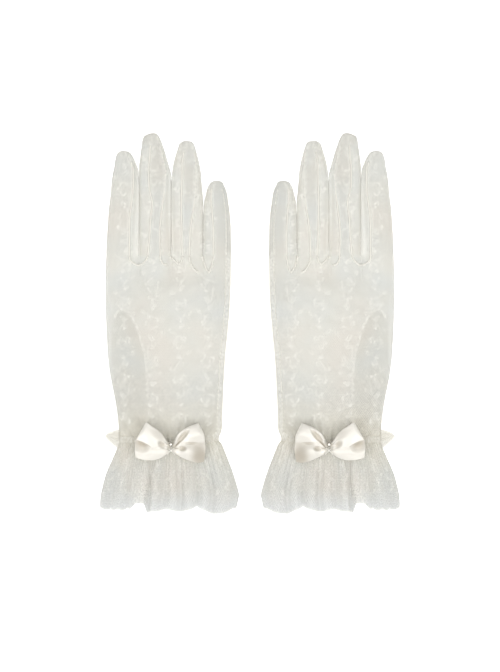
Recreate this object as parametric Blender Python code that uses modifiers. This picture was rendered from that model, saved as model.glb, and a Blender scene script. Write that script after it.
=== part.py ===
"""A pair of short lace bridal gloves, lying flat and palm down, backs up, fingertips towards +Y.

Each glove is a lace trank (hand and four finger stalls), a thumb folded under the palm, fourchettes
between the fingers, a seam down the little-finger side, an elastic at the wrist, a gathered frill,
and a satin bow with two beads. The gloves mirror each other across the plane x = 0.

Glove space is used inside the functions: u runs outwards from that plane, so the thumb side has the
larger u, y runs from the frill's hem to the fingertips, and z is the height above the table.
"""

import math

import bmesh
import bpy
import numpy as np
from mathutils import Matrix

MM = 0.001

# Driving dimensions, in millimetres.
LENGTH = 240.0  # hem of the frill to the tip of the middle finger
TIP_Y = LENGTH / 2
HEM_Y = -LENGTH / 2
LACE = 0.5  # thickness of a layer of lace with its net
GAP = 0.35  # clearance between touching pieces
KNUCKLE_Y = 50.0  # the finger stalls fold back along this line
WRIST_Y = -74.0  # the elastic's line
ELASTIC_RADIUS = 0.5
SEAM_RADIUS = 0.45
FINGER_HEIGHT = 4.8
FINGERTIP_HEIGHT = 2.4
THUMB_HEIGHT = 3.1
PALM_LIFT = THUMB_HEIGHT + GAP  # the palm lies on the folded thumb
TIP_POWER = 0.18  # how blunt the fingertips are
TIP_END = 0.995  # the tip is closed by a small end face, just before its width would reach nothing

# name: (middle of the root, middle of the tip, tip's y, half width at the root, fourchette sides)
# A fourchette side of +1 is the edge nearer the thumb, -1 the edge nearer the little finger.
FINGERS = {
    "index": (79.8, 78.3, 108.0, 9.5, (-1,)),
    "middle": (59.5, 60.6, TIP_Y, 9.9, (1, -1)),
    "ring": (39.3, 40.0, 114.0, 9.7, (1, -1)),
    "little": (20.8, 20.4, 89.0, 8.0, (1,)),
}

# The hand's two edges at points along y, from the wrist to the knuckle line.
HAND_Y = [-72.0, -60.0, -38.0, -15.0, 9.0, 31.0, KNUCKLE_Y - GAP]
HAND_OUTER = [80.5, 82.5, 86.0, 88.7, 90.0, 90.1, 89.5]
HAND_INNER = [20.0, 18.2, 17.2, 14.8, 12.8, 12.2, 12.6]
HAND_FLOOR = [3.2, PALM_LIFT, PALM_LIFT, PALM_LIFT, PALM_LIFT, 0.0, 0.0]
HAND_HEIGHT = [7.6, 7.8, 8.0, 8.0, 7.6, 5.6, FINGER_HEIGHT]

THUMB_PIVOT = (75.5, -57.0)
THUMB_TIP = (79.0, 6.5)
THUMB_HALF_WIDTH = 11.5
THUMB_EDGE_HEIGHT = 1.9  # at the tip and at the rounded root
THUMB_HOLE = (75.5, -54.0, 8.0, 12.0)  # middle, and half sizes, of the hole in the palm

FRILL_Y = [-76.0, -88.0, -103.0, HEM_Y]
FRILL_OUTER = [81.0, 86.0, 92.0, 94.0]
FRILL_INNER = [19.5, 14.0, 9.5, 6.8]
FRILL_FLOOR = [3.2, 2.0, 0.6, 0.0]
FRILL_HEIGHT = [7.4, 8.4, 9.8, 11.5]
FRILL_FOLDS = 7
FRILL_FOLD_DEPTH = 0.9

# The corner of gathered lace beside the wrist, as points (u, y) round its outline.
TUFT_OUTLINE = [(81.9, -66.5), (87.5, -67.4), (91.0, -70.8), (87.8, -74.2), (83.5, -75.3), (81.2, -72.5)]
TUFT_HALF_THICKNESS = 0.9
TUFT_Z = 5.2

BOW_MIDDLE = (49.2, -77.8)  # the knot, just below the elastic
BOW_FLOOR = 11.8  # the loops swing clear of the wrist's back
BOW_REACH = 23.0  # from the knot to the end of a loop
BOW_LOOP_SHIFT = 3.5  # the ends of the loops sit this much nearer the fingers than the knot
BOW_LOOP_LIFT = 3.9  # how far a loop's two layers stand from its middle height
BOW_LOOP_RISE = 1.6  # from the knot's middle to the loop's
BOW_LAYER_PARTING = 1.0  # between the middle of the knot's end and each layer there
RIBBON = 0.4
RIBBON_HALF_WIDTH = 12.0
RIBBON_PINCH = 2.6  # half width where the ribbon is drawn into the knot
KNOT_RADIUS = 2.3
KNOT_LENGTH = 3.4
PEARL_RADIUS = (1.7, 2.1, 1.7)
PEARL_OFFSET = 1.8  # the pearl's place from the middle of the knot, along y
SEED_RADIUS = 1.15
SEED_OFFSET = -2.1
SEED_SINK = 0.6  # the small bead sits lower than the pearl

COLOURS = {
    "lace": ((0.86, 0.85, 0.79), 0.8, 0.0),
    "seam": ((0.80, 0.79, 0.72), 0.8, 0.0),
    "elastic": ((0.84, 0.83, 0.78), 0.6, 0.0),
    "satin": ((0.90, 0.86, 0.80), 0.35, 0.0),
    "pearl": ((0.88, 0.85, 0.78), 0.2, 0.1),
    "crystal": ((0.86, 0.86, 0.84), 0.1, 0.0),
}


def clear_scene():
    for obj in list(bpy.data.objects):
        bpy.data.objects.remove(obj, do_unlink=True)


def collection(name):
    made = bpy.data.collections.new(name)
    bpy.context.scene.collection.children.link(made)
    return made


def material(name, colour):
    """A Principled material of its own for one node."""
    (red, green, blue), roughness, metallic = COLOURS[colour]
    made = bpy.data.materials.new(name)
    made.use_nodes = True
    shader = made.node_tree.nodes["Principled BSDF"]
    shader.inputs["Base Color"].default_value = (red, green, blue, 1.0)
    shader.inputs["Roughness"].default_value = roughness
    shader.inputs["Metallic"].default_value = metallic
    return made


class Glove:
    """Makes one glove's nodes. side is -1 for the right-hand glove, at -X, and +1 for the left-hand one."""

    def __init__(self, name, side, parts):
        self.name = name
        self.side = side
        self.parts = parts

    def place(self, u, y, z):
        """A point of glove space in the row's frame, in metres."""
        return (self.side * u * MM, y * MM, z * MM)

    def pivot(self, name, u, y, z, parent):
        """An empty on a joint's axis."""
        empty = bpy.data.objects.new(f"{self.name}_{name}", None)
        empty.empty_display_size = 0.005
        empty.location = self.place(u, y, z)
        if parent:
            empty.parent = parent
            empty.matrix_parent_inverse = Matrix.Translation(-parent.location)
        self.parts.objects.link(empty)
        return empty

    def node(self, name, mesh, colour, parent):
        """A node whose mesh is already in the row's frame. It is put at its parent's origin."""
        obj = bpy.data.objects.new(f"{self.name}_{name}", mesh)
        self.parts.objects.link(obj)
        mesh.transform(Matrix.Translation(-parent.matrix_world.translation))
        obj.parent = parent
        mesh.materials.clear()
        mesh.materials.append(material(obj.name, colour))
        return obj

    def shell(self, name, rings, keep, colour, parent, closed=True, capped=False, thickness=LACE):
        """A layer of cloth lofted through rings of (u, y, z) points, then given its thickness inwards.

        keep(ring, column) says which faces are made. A capped loft ends in one face on its last ring.
        """
        mesh = bpy.data.meshes.new(f"{self.name}_{name}")
        build = bmesh.new()
        grid = [[build.verts.new(self.place(*point)) for point in ring] for ring in rings]
        count = len(rings[0])
        for row in range(len(rings) - 1):
            for column in range(count if closed else count - 1):
                if not keep(row, column):
                    continue
                after = (column + 1) % count
                near, far = grid[row], grid[row + 1]
                build.faces.new((near[column], near[after], far[after], far[column]))
        if capped:
            build.faces.new(grid[-1])
        bmesh.ops.delete(build, geom=[v for v in build.verts if not v.link_faces], context="VERTS")
        if self.side > 0:
            bmesh.ops.reverse_faces(build, faces=build.faces)
        build.to_mesh(mesh)
        build.free()
        obj = self.node(name, mesh, colour, parent)
        solidify = obj.modifiers.new("cloth", "SOLIDIFY")
        solidify.thickness = thickness * MM
        solidify.offset = -1.0
        return obj

    def primitive(self, name, u, y, z, colour, parent, maker, **settings):
        """A node from one of bmesh's primitives, centred on a point of glove space."""
        mesh = bpy.data.meshes.new(f"{self.name}_{name}")
        build = bmesh.new()
        matrix = Matrix.Translation(self.place(u, y, z)) @ settings.pop("shape")
        maker(build, matrix=matrix, **settings)
        build.to_mesh(mesh)
        build.free()
        mesh.shade_smooth()
        return self.node(name, mesh, colour, parent)

    def tube(self, name, points, radius, colour, parent, cyclic=False):
        """A round cord or bead of thread along points."""
        curve = bpy.data.curves.new(f"{self.name}_{name}", "CURVE")
        curve.dimensions = "3D"
        curve.bevel_depth = radius * MM
        curve.bevel_resolution = 1
        curve.use_fill_caps = not cyclic
        spline = curve.splines.new("POLY")
        spline.points.add(len(points) - 1)
        for knot, point in zip(spline.points, points):
            place = np.array(self.place(*point)) - np.array(parent.matrix_world.translation)
            knot.co = (*place, 1.0)
        spline.use_cyclic_u = cyclic
        obj = bpy.data.objects.new(f"{self.name}_{name}", curve)
        obj.parent = parent
        curve.materials.append(material(obj.name, colour))
        self.parts.objects.link(obj)
        return obj


def crown(across):
    """How high cloth stands across a flattened tube: 1 in the middle and 0 at either edge."""
    return (1.0 - abs(across) ** 2.6) ** 0.55


def flat_ring(inner, outer, y, floor, height, across, ripple=0.0):
    """A flattened tube's section: over the top from the outer edge to the inner, and back along the floor.

    across lists the places between the edges, from 1 down to -1. ripple is the depth of the frill's folds.
    """
    middle, half = (inner + outer) / 2, (outer - inner) / 2
    ring = []
    for place in across:
        fold = ripple * math.cos(math.pi * FRILL_FOLDS * place) * crown(place)
        ring.append((middle + half * place, y, floor + height * crown(place) + fold))
    for place in across[-2:0:-1]:
        edge_lift = 0.25 * height * abs(place) ** 8
        ring.append((middle + half * place, y, floor + edge_lift))
    lifted = floor + 0.3 * height
    ring[0] = (ring[0][0], y, lifted)
    ring[len(across) - 1] = (ring[len(across) - 1][0], y, lifted)
    return ring


def every_face(row, column):
    return True


def make_hand(glove, hand):
    """The trank's palm and back, folded at the index side, open at both ends and at the thumb hole."""
    across = [1.0, 0.86, 0.6, 0.3, 0.0, -0.3, -0.6, -0.86, -1.0]
    rings = [
        flat_ring(inner, outer, y, floor, height, across)
        for y, inner, outer, floor, height in zip(
            HAND_Y, HAND_INNER, HAND_OUTER, HAND_FLOOR, HAND_HEIGHT
        )
    ]
    underside = len(across) - 1

    def outside_thumb_hole(row, column):
        if column < underside:
            return True
        corners = [rings[r][c % len(rings[0])] for r in (row, row + 1) for c in (column, column + 1)]
        u, y, _ = np.mean(corners, axis=0)
        middle_u, middle_y, half_u, half_y = THUMB_HOLE
        return ((u - middle_u) / half_u) ** 2 + ((y - middle_y) / half_y) ** 2 > 1.0

    glove.shell("hand_trank", rings, outside_thumb_hole, "lace", hand)


def stall_rings(finger):
    """Sections of a finger stall from its root to its tip.

    Twelve points round each: the two edges, and on top and underneath a pair at each fourchette seam,
    half a gap to either side of it, and one in the middle.
    """
    root, tip, tip_y, half_root, _ = FINGERS[finger]
    span = tip_y - KNUCKLE_Y
    rings = []
    for share in (0.0, 0.22, 0.45, 0.65, 0.8, 0.9, 0.965, 1.0):
        y = KNUCKLE_Y + span * share
        blunt = (1.0 - TIP_END * share) ** TIP_POWER
        half = half_root * blunt
        middle = root + (tip - root) * share
        seam = 0.52 + 0.3 * share
        parting = GAP / 2 / half
        across = [1.0, seam + parting, seam - parting, 0.0, parting - seam, -parting - seam, -1.0]
        tall = FINGERTIP_HEIGHT + (FINGER_HEIGHT - FINGERTIP_HEIGHT) * blunt
        rings.append(flat_ring(middle - half, middle + half, y, 0.0, tall, across))
    return rings


# Columns of a stall's ring, by the fourchette side that they belong to, and the seam's own columns.
FOURCHETTE_COLUMNS = {1: (0, 11), -1: (5, 6)}
SEAM_COLUMNS = {1: (1, 10), -1: (4, 7)}
FOURCHETTE_ROWS = 5  # a fourchette ends short of the fingertip, where the trank closes


def make_finger(glove, finger, hand):
    """One finger stall of the trank and the halves of the fourchettes that are sewn to it."""
    root, _, _, _, sides = FINGERS[finger]
    rings = stall_rings(finger)
    pivot = glove.pivot(f"{finger}_fold", root, KNUCKLE_Y - GAP / 2, FINGER_HEIGHT, hand)
    bpy.context.view_layer.update()
    gussets = [c for side in sides for c in FOURCHETTE_COLUMNS[side]]
    seams = [c for side in sides for c in SEAM_COLUMNS[side]]

    def in_trank(row, column):
        return row >= FOURCHETTE_ROWS or column not in gussets + seams

    glove.shell(f"{finger}_stall", rings, in_trank, "lace", pivot, capped=True)
    for side in sides:
        edge = {1: "outer", -1: "inner"}[side]
        columns = FOURCHETTE_COLUMNS[side]
        glove.shell(
            f"{finger}_fourchette_{edge}",
            rings[:FOURCHETTE_ROWS - 1] + [shortened(rings, FOURCHETTE_ROWS)],
            lambda row, column: column in columns,
            "lace",
            pivot,
        )
    return pivot


def shortened(rings, row):
    """The section at a row, drawn back towards the row before by a gap, where a fourchette's point ends."""
    last, before = np.array(rings[row - 1]), np.array(rings[row - 2])
    share = GAP / (last[0][1] - before[0][1])
    return [tuple(point) for point in last + (before - last) * share]


def make_thumb(glove, hand):
    """The thumb, folded flat under the palm, with an opening on top where it meets the palm's hole."""
    pivot_u, pivot_y = THUMB_PIVOT
    tip_u, tip_y = THUMB_TIP
    pivot = glove.pivot("thumb_swing", pivot_u, pivot_y, 0.0, hand)
    bpy.context.view_layer.update()
    across = [1.0, 0.7, 0.25, -0.25, -0.7, -1.0]
    span = tip_y - pivot_y
    rings = []
    for share in (-0.995, -0.8, -0.45, 0.0):
        half = THUMB_HALF_WIDTH * math.sqrt(1.0 - share * share)
        y = pivot_y + THUMB_HALF_WIDTH * share
        tall = THUMB_EDGE_HEIGHT + (THUMB_HEIGHT - THUMB_EDGE_HEIGHT) * math.sqrt(1.0 - share * share)
        rings.append(flat_ring(pivot_u - half, pivot_u + half, y, 0.0, tall, across))
    for share in (0.3, 0.55, 0.75, 0.9, 0.965, 1.0):
        blunt = (1.0 - TIP_END * share) ** TIP_POWER
        half = THUMB_HALF_WIDTH * blunt
        middle = pivot_u + (tip_u - pivot_u) * share
        tall = THUMB_EDGE_HEIGHT + (THUMB_HEIGHT - THUMB_EDGE_HEIGHT) * blunt
        y = pivot_y + span * share
        rings.append(flat_ring(middle - half, middle + half, y, 0.0, tall, across))

    def below_hole(row, column):
        return not (row in (1, 2, 3) and column in (1, 2, 3))

    shell = glove.shell("thumb_stall", rings, below_hole, "lace", pivot, capped=True)
    build = bmesh.new()
    build.from_mesh(shell.data)
    bmesh.ops.holes_fill(build, edges=first_ring_edges(build), sides=0)
    build.to_mesh(shell.data)
    build.free()
    return pivot


def first_ring_edges(build):
    """The open edges at the wrist end of the thumb."""
    lowest = min(vertex.co.y for vertex in build.verts)
    return [e for e in build.edges if e.is_boundary and max(v.co.y for v in e.verts) < lowest + 1e-6]


def make_seams(glove, hand, little):
    """The closing seam down the little-finger side, one bead of thread on the hand and one on the stall."""
    offset = SEAM_RADIUS + GAP
    points = [
        (inner - offset, y, floor + 0.3 * height)
        for y, inner, floor, height in zip(HAND_Y, HAND_INNER, HAND_FLOOR, HAND_HEIGHT)
    ]
    glove.tube("side_seam", points, SEAM_RADIUS, "seam", hand)
    edge = [min(ring) for ring in stall_rings("little")[:FOURCHETTE_ROWS + 1]]
    points = [(u - offset, y, z) for u, y, z in edge]
    glove.tube("little_side_seam", points, SEAM_RADIUS, "seam", little)


def make_wrist(glove, hand):
    """The elastic that gathers the wrist, and the frill below it, open at both ends."""
    across = [1.0, 0.8, 0.4, 0.0, -0.4, -0.8, -1.0]
    floor, height, thread = HAND_FLOOR[0], HAND_HEIGHT[0], ELASTIC_RADIUS
    ring = flat_ring(
        HAND_INNER[0] + thread, HAND_OUTER[0] - thread, WRIST_Y, floor + thread, height - 2 * thread, across
    )
    glove.tube("wrist_elastic", ring, thread, "elastic", hand, cyclic=True)

    across = [1.0 - 2.0 * step / (2 * FRILL_FOLDS) for step in range(2 * FRILL_FOLDS + 1)]
    rings = [
        flat_ring(inner, outer, y, floor, height, across, FRILL_FOLD_DEPTH * (step + 1) / len(FRILL_Y))
        for step, (y, inner, outer, floor, height) in enumerate(
            zip(FRILL_Y, FRILL_INNER, FRILL_OUTER, FRILL_FLOOR, FRILL_HEIGHT)
        )
    ]
    glove.shell("cuff_frill", rings[::-1], every_face, "lace", hand)


def make_tuft(glove, hand):
    """The corner of gathered lace that stands out at the thumb side of the wrist."""
    curve = bpy.data.curves.new("tuft_outline", "CURVE")
    curve.dimensions = "2D"
    curve.fill_mode = "BOTH"
    curve.extrude = TUFT_HALF_THICKNESS * MM
    spline = curve.splines.new("POLY")
    spline.points.add(len(TUFT_OUTLINE) - 1)
    for knot, (u, y) in zip(spline.points, TUFT_OUTLINE):
        knot.co = (*glove.place(u, y, 0.0), 1.0)
    spline.use_cyclic_u = True
    flat = bpy.data.objects.new("tuft_outline", curve)
    bpy.context.scene.collection.objects.link(flat)
    bpy.context.view_layer.update()
    graph = bpy.context.evaluated_depsgraph_get()
    mesh = bpy.data.meshes.new_from_object(flat.evaluated_get(graph))
    bpy.data.objects.remove(flat, do_unlink=True)
    build = bmesh.new()
    build.from_mesh(mesh)
    bmesh.ops.remove_doubles(build, verts=build.verts, dist=0.00001)
    bmesh.ops.recalc_face_normals(build, faces=build.faces)
    bmesh.ops.translate(build, verts=build.verts, vec=(0.0, 0.0, TUFT_Z * MM))
    build.to_mesh(mesh)
    build.free()
    glove.node("wrist_tuft", mesh, "lace", hand)


def make_bow(glove, hand):
    """The satin bow on its stitch: two ribbon loops, the thread knot between them, and two beads on top."""
    middle_u, middle_y = BOW_MIDDLE
    knot_z = BOW_FLOOR + KNOT_RADIUS
    pivot = glove.pivot("bow_swivel", middle_u, middle_y, knot_z, hand)
    bpy.context.view_layer.update()
    inner_end = KNOT_LENGTH / 2 + GAP
    for way, name in ((1, "outer"), (-1, "inner")):
        rings = []
        for turn in np.linspace(0.0, 1.0, 13):
            angle = math.pi * (2.0 * turn - 1.0)
            out = (1.0 + math.cos(angle)) / 2
            reach = inner_end + (BOW_REACH - inner_end) * out ** 0.8
            lift = BOW_LOOP_LIFT * math.sin(angle) * (0.35 + 0.65 * math.sin(math.pi * turn))
            half = RIBBON_PINCH + (RIBBON_HALF_WIDTH - RIBBON_PINCH) * out ** 0.6
            parting = BOW_LAYER_PARTING * math.copysign(1.0, turn - 0.5) * (1.0 - out)
            u, z = middle_u + way * reach, knot_z + BOW_LOOP_RISE + lift + parting
            y = middle_y + BOW_LOOP_SHIFT * out
            rings.append([(u, y + half * share, z) for share in (-1.0, -0.4, 0.4, 1.0)])
        if way > 0:
            rings = rings[::-1]
        glove.shell(
            f"bow_loop_{name}", rings, every_face, "satin", pivot, closed=False, thickness=RIBBON
        )
    turned = Matrix.Rotation(math.pi / 2, 4, "Y")
    glove.primitive(
        "bow_knot", middle_u, middle_y, knot_z, "satin", pivot, bmesh.ops.create_cone,
        shape=turned, cap_ends=True, segments=12, depth=KNOT_LENGTH * MM,
        radius1=KNOT_RADIUS * MM, radius2=KNOT_RADIUS * MM,
    )
    pearl_z = knot_z + KNOT_RADIUS + GAP + PEARL_RADIUS[2]
    glove.primitive(
        "bow_pearl", middle_u, middle_y + PEARL_OFFSET, pearl_z, "pearl", pivot, bmesh.ops.create_uvsphere,
        shape=Matrix.Diagonal((*PEARL_RADIUS, 1.0)), u_segments=12, v_segments=8, radius=MM,
    )
    seed_z = knot_z + KNOT_RADIUS + GAP + SEED_RADIUS - SEED_SINK
    glove.primitive(
        "bow_seed_bead", middle_u, middle_y + SEED_OFFSET, seed_z, "crystal", pivot,
        bmesh.ops.create_uvsphere, shape=Matrix.Diagonal((SEED_RADIUS, SEED_RADIUS, SEED_RADIUS, 1.0)),
        u_segments=10, v_segments=6, radius=MM,
    )


def make_glove(name, side, parts):
    glove = Glove(name, side, parts)
    hand = glove.pivot("hand", 0.0, 0.0, 0.0, None)
    bpy.context.view_layer.update()
    make_hand(glove, hand)
    pivots = {finger: make_finger(glove, finger, hand) for finger in FINGERS}
    make_thumb(glove, hand)
    make_seams(glove, hand, pivots["little"])
    make_wrist(glove, hand)
    make_tuft(glove, hand)
    make_bow(glove, hand)


def main():
    clear_scene()
    parts = collection("lace_gloves")
    make_glove("right", -1, parts)
    make_glove("left", 1, parts)
    bpy.context.view_layer.update()


main()
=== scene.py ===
"""A pair of short lace bridal gloves lying flat with their backs up, made as they are cut and sewn.

Shapes are worked out in glove space, in millimetres: u runs outwards from the middle between the two
gloves, y from the frill's hem to the fingertips, and z up from the table. The right-hand glove has
side -1, and the left-hand one, its mirror image, has side 1.
"""

import bmesh
import bpy
import numpy as np
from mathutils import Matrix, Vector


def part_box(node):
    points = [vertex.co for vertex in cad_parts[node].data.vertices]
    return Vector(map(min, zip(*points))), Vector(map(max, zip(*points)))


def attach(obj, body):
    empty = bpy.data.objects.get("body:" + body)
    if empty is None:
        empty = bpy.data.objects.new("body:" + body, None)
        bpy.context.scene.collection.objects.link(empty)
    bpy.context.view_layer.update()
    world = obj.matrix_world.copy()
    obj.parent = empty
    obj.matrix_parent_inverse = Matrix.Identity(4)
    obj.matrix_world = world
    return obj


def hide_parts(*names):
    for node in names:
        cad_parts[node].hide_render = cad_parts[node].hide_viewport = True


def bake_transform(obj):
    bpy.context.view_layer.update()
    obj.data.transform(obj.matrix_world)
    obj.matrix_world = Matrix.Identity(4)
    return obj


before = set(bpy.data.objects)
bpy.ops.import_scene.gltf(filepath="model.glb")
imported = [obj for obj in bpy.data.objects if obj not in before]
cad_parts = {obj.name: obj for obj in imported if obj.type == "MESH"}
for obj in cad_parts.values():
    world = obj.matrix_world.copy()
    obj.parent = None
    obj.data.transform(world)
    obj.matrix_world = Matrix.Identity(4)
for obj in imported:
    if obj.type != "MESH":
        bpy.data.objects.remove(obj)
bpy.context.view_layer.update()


# ---- Table, light and camera ----
# The gloves lie on a white sweep. Each is lit by a softbox from its thumb's side and the hem's, under a
# white ceiling in a dim room. A long lens looks straight down on them.

VIEW_HEIGHT = 0.422
VIEW_MIDDLE = (0.0, -0.0082)
CAMERA_HEIGHT = 2.0
SENSOR = 36.0
LAMP_PLACE, LAMP_TARGET = (0.68, -0.42, 0.92), (0.07, 0.01, 0.0)
SWEEP_HALF, SWEEP_Z = 3.0, -0.0006


def linear(code):
    """An sRGB hex colour as linear numbers: ((c + 0.055) / 1.055) ** 2.4, or c / 12.92 near black."""
    c = np.array([int(code[at : at + 2], 16) for at in (1, 3, 5)]) / 255
    return (*np.where(c > 0.04045, ((c + 0.055) / 1.055) ** 2.4, c / 12.92), 1.0)


def add(tree, kind, inputs=None, **settings):
    """A new node with its settings. Each of its inputs is linked to a socket or set to a value."""
    node = tree.nodes.new(kind)
    for name, value in settings.items():
        setattr(node, name, value)
    for socket, value in (inputs or {}).items():
        if isinstance(value, bpy.types.NodeSocket):
            tree.links.new(value, node.inputs[socket])
        else:
            node.inputs[socket].default_value = value
    return node


def finish(name, **values):
    """A material of that name. Returns it with its tree and its Principled shader."""
    made = bpy.data.materials.new(name)
    made.use_nodes = True
    shader = made.node_tree.nodes["Principled BSDF"]
    for socket, value in values.items():
        shader.inputs[socket.replace("_", " ")].default_value = value
    return made, made.node_tree, shader


def put(name, mesh):
    """An object of that mesh, in the scene."""
    piece = bpy.data.objects.new(name, mesh)
    bpy.context.scene.collection.objects.link(piece)
    return piece


sweep_mesh = bpy.data.meshes.new("sweep")
corners = np.array([(-1, -1), (1, -1), (1, 1), (-1, 1)]) * SWEEP_HALF
sweep_mesh.from_pydata([(x, y, SWEEP_Z) for x, y in corners], [], [(0, 1, 2, 3)])
sweep = put("sweep", sweep_mesh)
# Paper scatters light evenly. It glows a little, as paper lit from all sides does.
paper, _, _ = finish(
    "matt white paper", Base_Color=linear("#FAFAFA"), Roughness=0.9, Emission_Color=linear("#FFFFFF"),
    Emission_Strength=0.5,
)
sweep_mesh.materials.append(paper)

room = bpy.data.worlds.new("room")
room.use_nodes = True
tree = room.node_tree
up = add(tree, "ShaderNodeTexCoord").outputs["Generated"]
rise = add(tree, "ShaderNodeSeparateXYZ", {0: up}).outputs["Z"]
ceiling = add(tree, "ShaderNodeValToRGB", {"Fac": rise})
ramp = ceiling.color_ramp
ramp.elements[0].position, ramp.elements[0].color = 0.25, linear("#6A6A69")
ramp.elements[1].position, ramp.elements[1].color = 0.82, (1.6, 1.59, 1.56, 1.0)
ramp.elements.new(0.72).color = linear("#A6A6A4")
tree.links.new(ceiling.outputs["Color"], tree.nodes["Background"].inputs["Color"])
tree.nodes["Background"].inputs["Strength"].default_value = 0.90
bpy.context.scene.world = room

for lamp_name, side in (("right softbox", -1), ("left softbox", 1)):
    lamp = bpy.data.lights.new(lamp_name, "AREA")
    lamp.size, lamp.energy, lamp.spread = 0.5, 0.26, np.radians(36.0)
    lamp_holder = put(lamp_name, lamp)
    place, target = (np.array(spot) * (side, 1.0, 1.0) for spot in (LAMP_PLACE, LAMP_TARGET))
    way = (target - place) / np.linalg.norm(target - place)
    lamp_holder.location = place
    lamp_holder.rotation_euler = (np.arccos(-way[2]), 0.0, np.arctan2(-way[0], way[1]))

lens = bpy.data.cameras.new("camera")
lens.sensor_width = SENSOR
lens.lens = SENSOR * CAMERA_HEIGHT / VIEW_HEIGHT
camera = put("camera", lens)
camera.location = (*VIEW_MIDDLE, CAMERA_HEIGHT)
bpy.context.scene.camera = camera
bpy.context.scene.view_settings.view_transform = "Standard"
bpy.context.scene.cycles.transparent_max_bounces = 40  # many layers of net lie over each other


# ---- Lace ----
# Soft nylon lace: a fine bobbin net in ivory, with flower sprigs and waving stems worked in thicker
# yarn. The net lets the layers below show through, and the sprigs stand a little proud of it.

NET_SPACING, NET_SLOPE = 1.15, 0.62  # from thread to thread of a fine bridal net, and the threads' slant
SPRIG_ACROSS, SPRIG_ALONG = 17.5, 24.0
FLOWER_RADIUS, STEM_BEND = 4.3, 2.9
# Each leaf's place along the stem, how it leans, and its length.
LEAVES = ((-9.4, 0.9, 2.8), (-6.6, -0.8, 2.4), (7.0, 0.8, 2.5), (9.8, -0.9, 2.8))


def ease(x):
    """0 up to x = 0, 1 from x = 1, and 3x^2 - 2x^3 between."""
    x = np.clip(x, 0.0, 1.0)
    return x * x * (3.0 - 2.0 * x)


def line(distance, width):
    """A soft line of that width: 1 on it, falling off as exp(-(2 distance / width)^2)."""
    return np.exp(-((2.0 * distance / width) ** 2))


def wander(s, t, size, start):
    """A smooth wandering value from -1 to 1: four sines of unlike directions and lengths about size."""
    total = 0.0
    for turn, step in ((0.3, 1.0), (1.4, 0.83), (2.2, 1.37), (2.9, 0.61)):
        along = s * np.cos(turn + start) + t * np.sin(turn + start)
        total = total + np.sin(2.0 * np.pi * along / (size * step) + 5.3 * start + turn)
    return total / 4.0


def sprigs(s, t):
    """How solid the lace is worked at s, t on the flat cloth, from 0 on bare net to 1.

    Flowers stand in columns, each column half a repeat above the last. A flower has five petals, whose
    rim is r = R (0.68 + 0.32 |cos 2.5a|). A stem waves from flower to flower as a sine, with a leaf, an
    almond of two parabolas, on each bend. Small rings fill the net between. The sprigs are worn away
    here and there.
    """
    column = np.floor(s / SPRIG_ACROSS)
    p = s - (column + 0.5) * SPRIG_ACROSS
    q = np.mod(t + 0.5 * SPRIG_ALONG * np.mod(column, 2), SPRIG_ALONG) - 0.5 * SPRIG_ALONG
    bend = STEM_BEND * np.sin(2.0 * np.pi * q / SPRIG_ALONG)
    radius, angle = np.hypot(p, q), np.arctan2(q, p)
    rim = FLOWER_RADIUS * (0.68 + 0.32 * np.abs(np.cos(2.5 * angle)))
    inside = ease((rim - radius) / 0.8)
    vein = line(np.sin(2.5 * angle) * radius * 0.4, 0.9) * ease((radius - 1.2) / 0.6)
    solid = inside * (0.3 + 0.4 * vein) + line(radius - rim, 1.3) + line(radius - 1.0, 1.1)
    solid = solid + 0.8 * (1.0 - inside) * line(p - bend, 1.3) * ease((radius - 4.0) / 1.5)
    for at, lean, reach in LEAVES:
        way = np.sign(lean)
        x, y = p - STEM_BEND * np.sin(2.0 * np.pi * at / SPRIG_ALONG) - way * 2.6, q - at
        along = x * np.cos(lean) + y * np.sin(lean)
        across = np.abs(-x * np.sin(lean) + y * np.cos(lean))
        edge = 0.5 * reach * (1.0 - np.clip(along / reach, -1.0, 1.0) ** 2)
        leaf = ease((edge - across) / 0.5 + 0.5) * (np.abs(along) < reach)
        solid = solid + leaf * (0.6 + 0.4 * line(across - edge, 0.9))
    filler = np.hypot(np.mod(p + 8.0, 5.0) - 2.5, np.mod(q, 6.0) - 3.0)
    solid = solid + 0.6 * line(filler, 1.4) * (1.0 - inside)
    worn = ease(0.62 + 0.75 * wander(s, t, 8.0, 0.5))
    return np.clip(solid, 0.0, 1.0) * worn


# Nylon net scatters light softly and lets about half of it through. The worked parts are closer and
# lighter, and their sheen is that of a fine yarn.
lace, tree, shader = finish(
    "ivory nylon net lace", Roughness=0.75, Sheen_Weight=0.12, Sheen_Roughness=0.4, Specular_IOR_Level=0.3
)
cut = add(tree, "ShaderNodeAttribute", attribute_name="cut").outputs["Vector"]
worked = add(tree, "ShaderNodeAttribute", attribute_name="worked").outputs["Fac"]
place = add(tree, "ShaderNodeSeparateXYZ", {0: cut})
bunched_and_shade = place.outputs["Z"]
picks = add(tree, "ShaderNodeTexNoise", {"Vector": cut, "Scale": 0.62, "Detail": 2.0, "Roughness": 0.7})
picks = add(
    tree, "ShaderNodeMapRange",
    {"Value": picks.outputs["Fac"], "From Min": 0.4, "From Max": 0.6, "To Min": 0.35, "To Max": 1.45},
).outputs["Result"]
worked = add(tree, "ShaderNodeMath", {0: worked, 1: picks}, operation="MULTIPLY", use_clamp=True).outputs[0]

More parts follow.
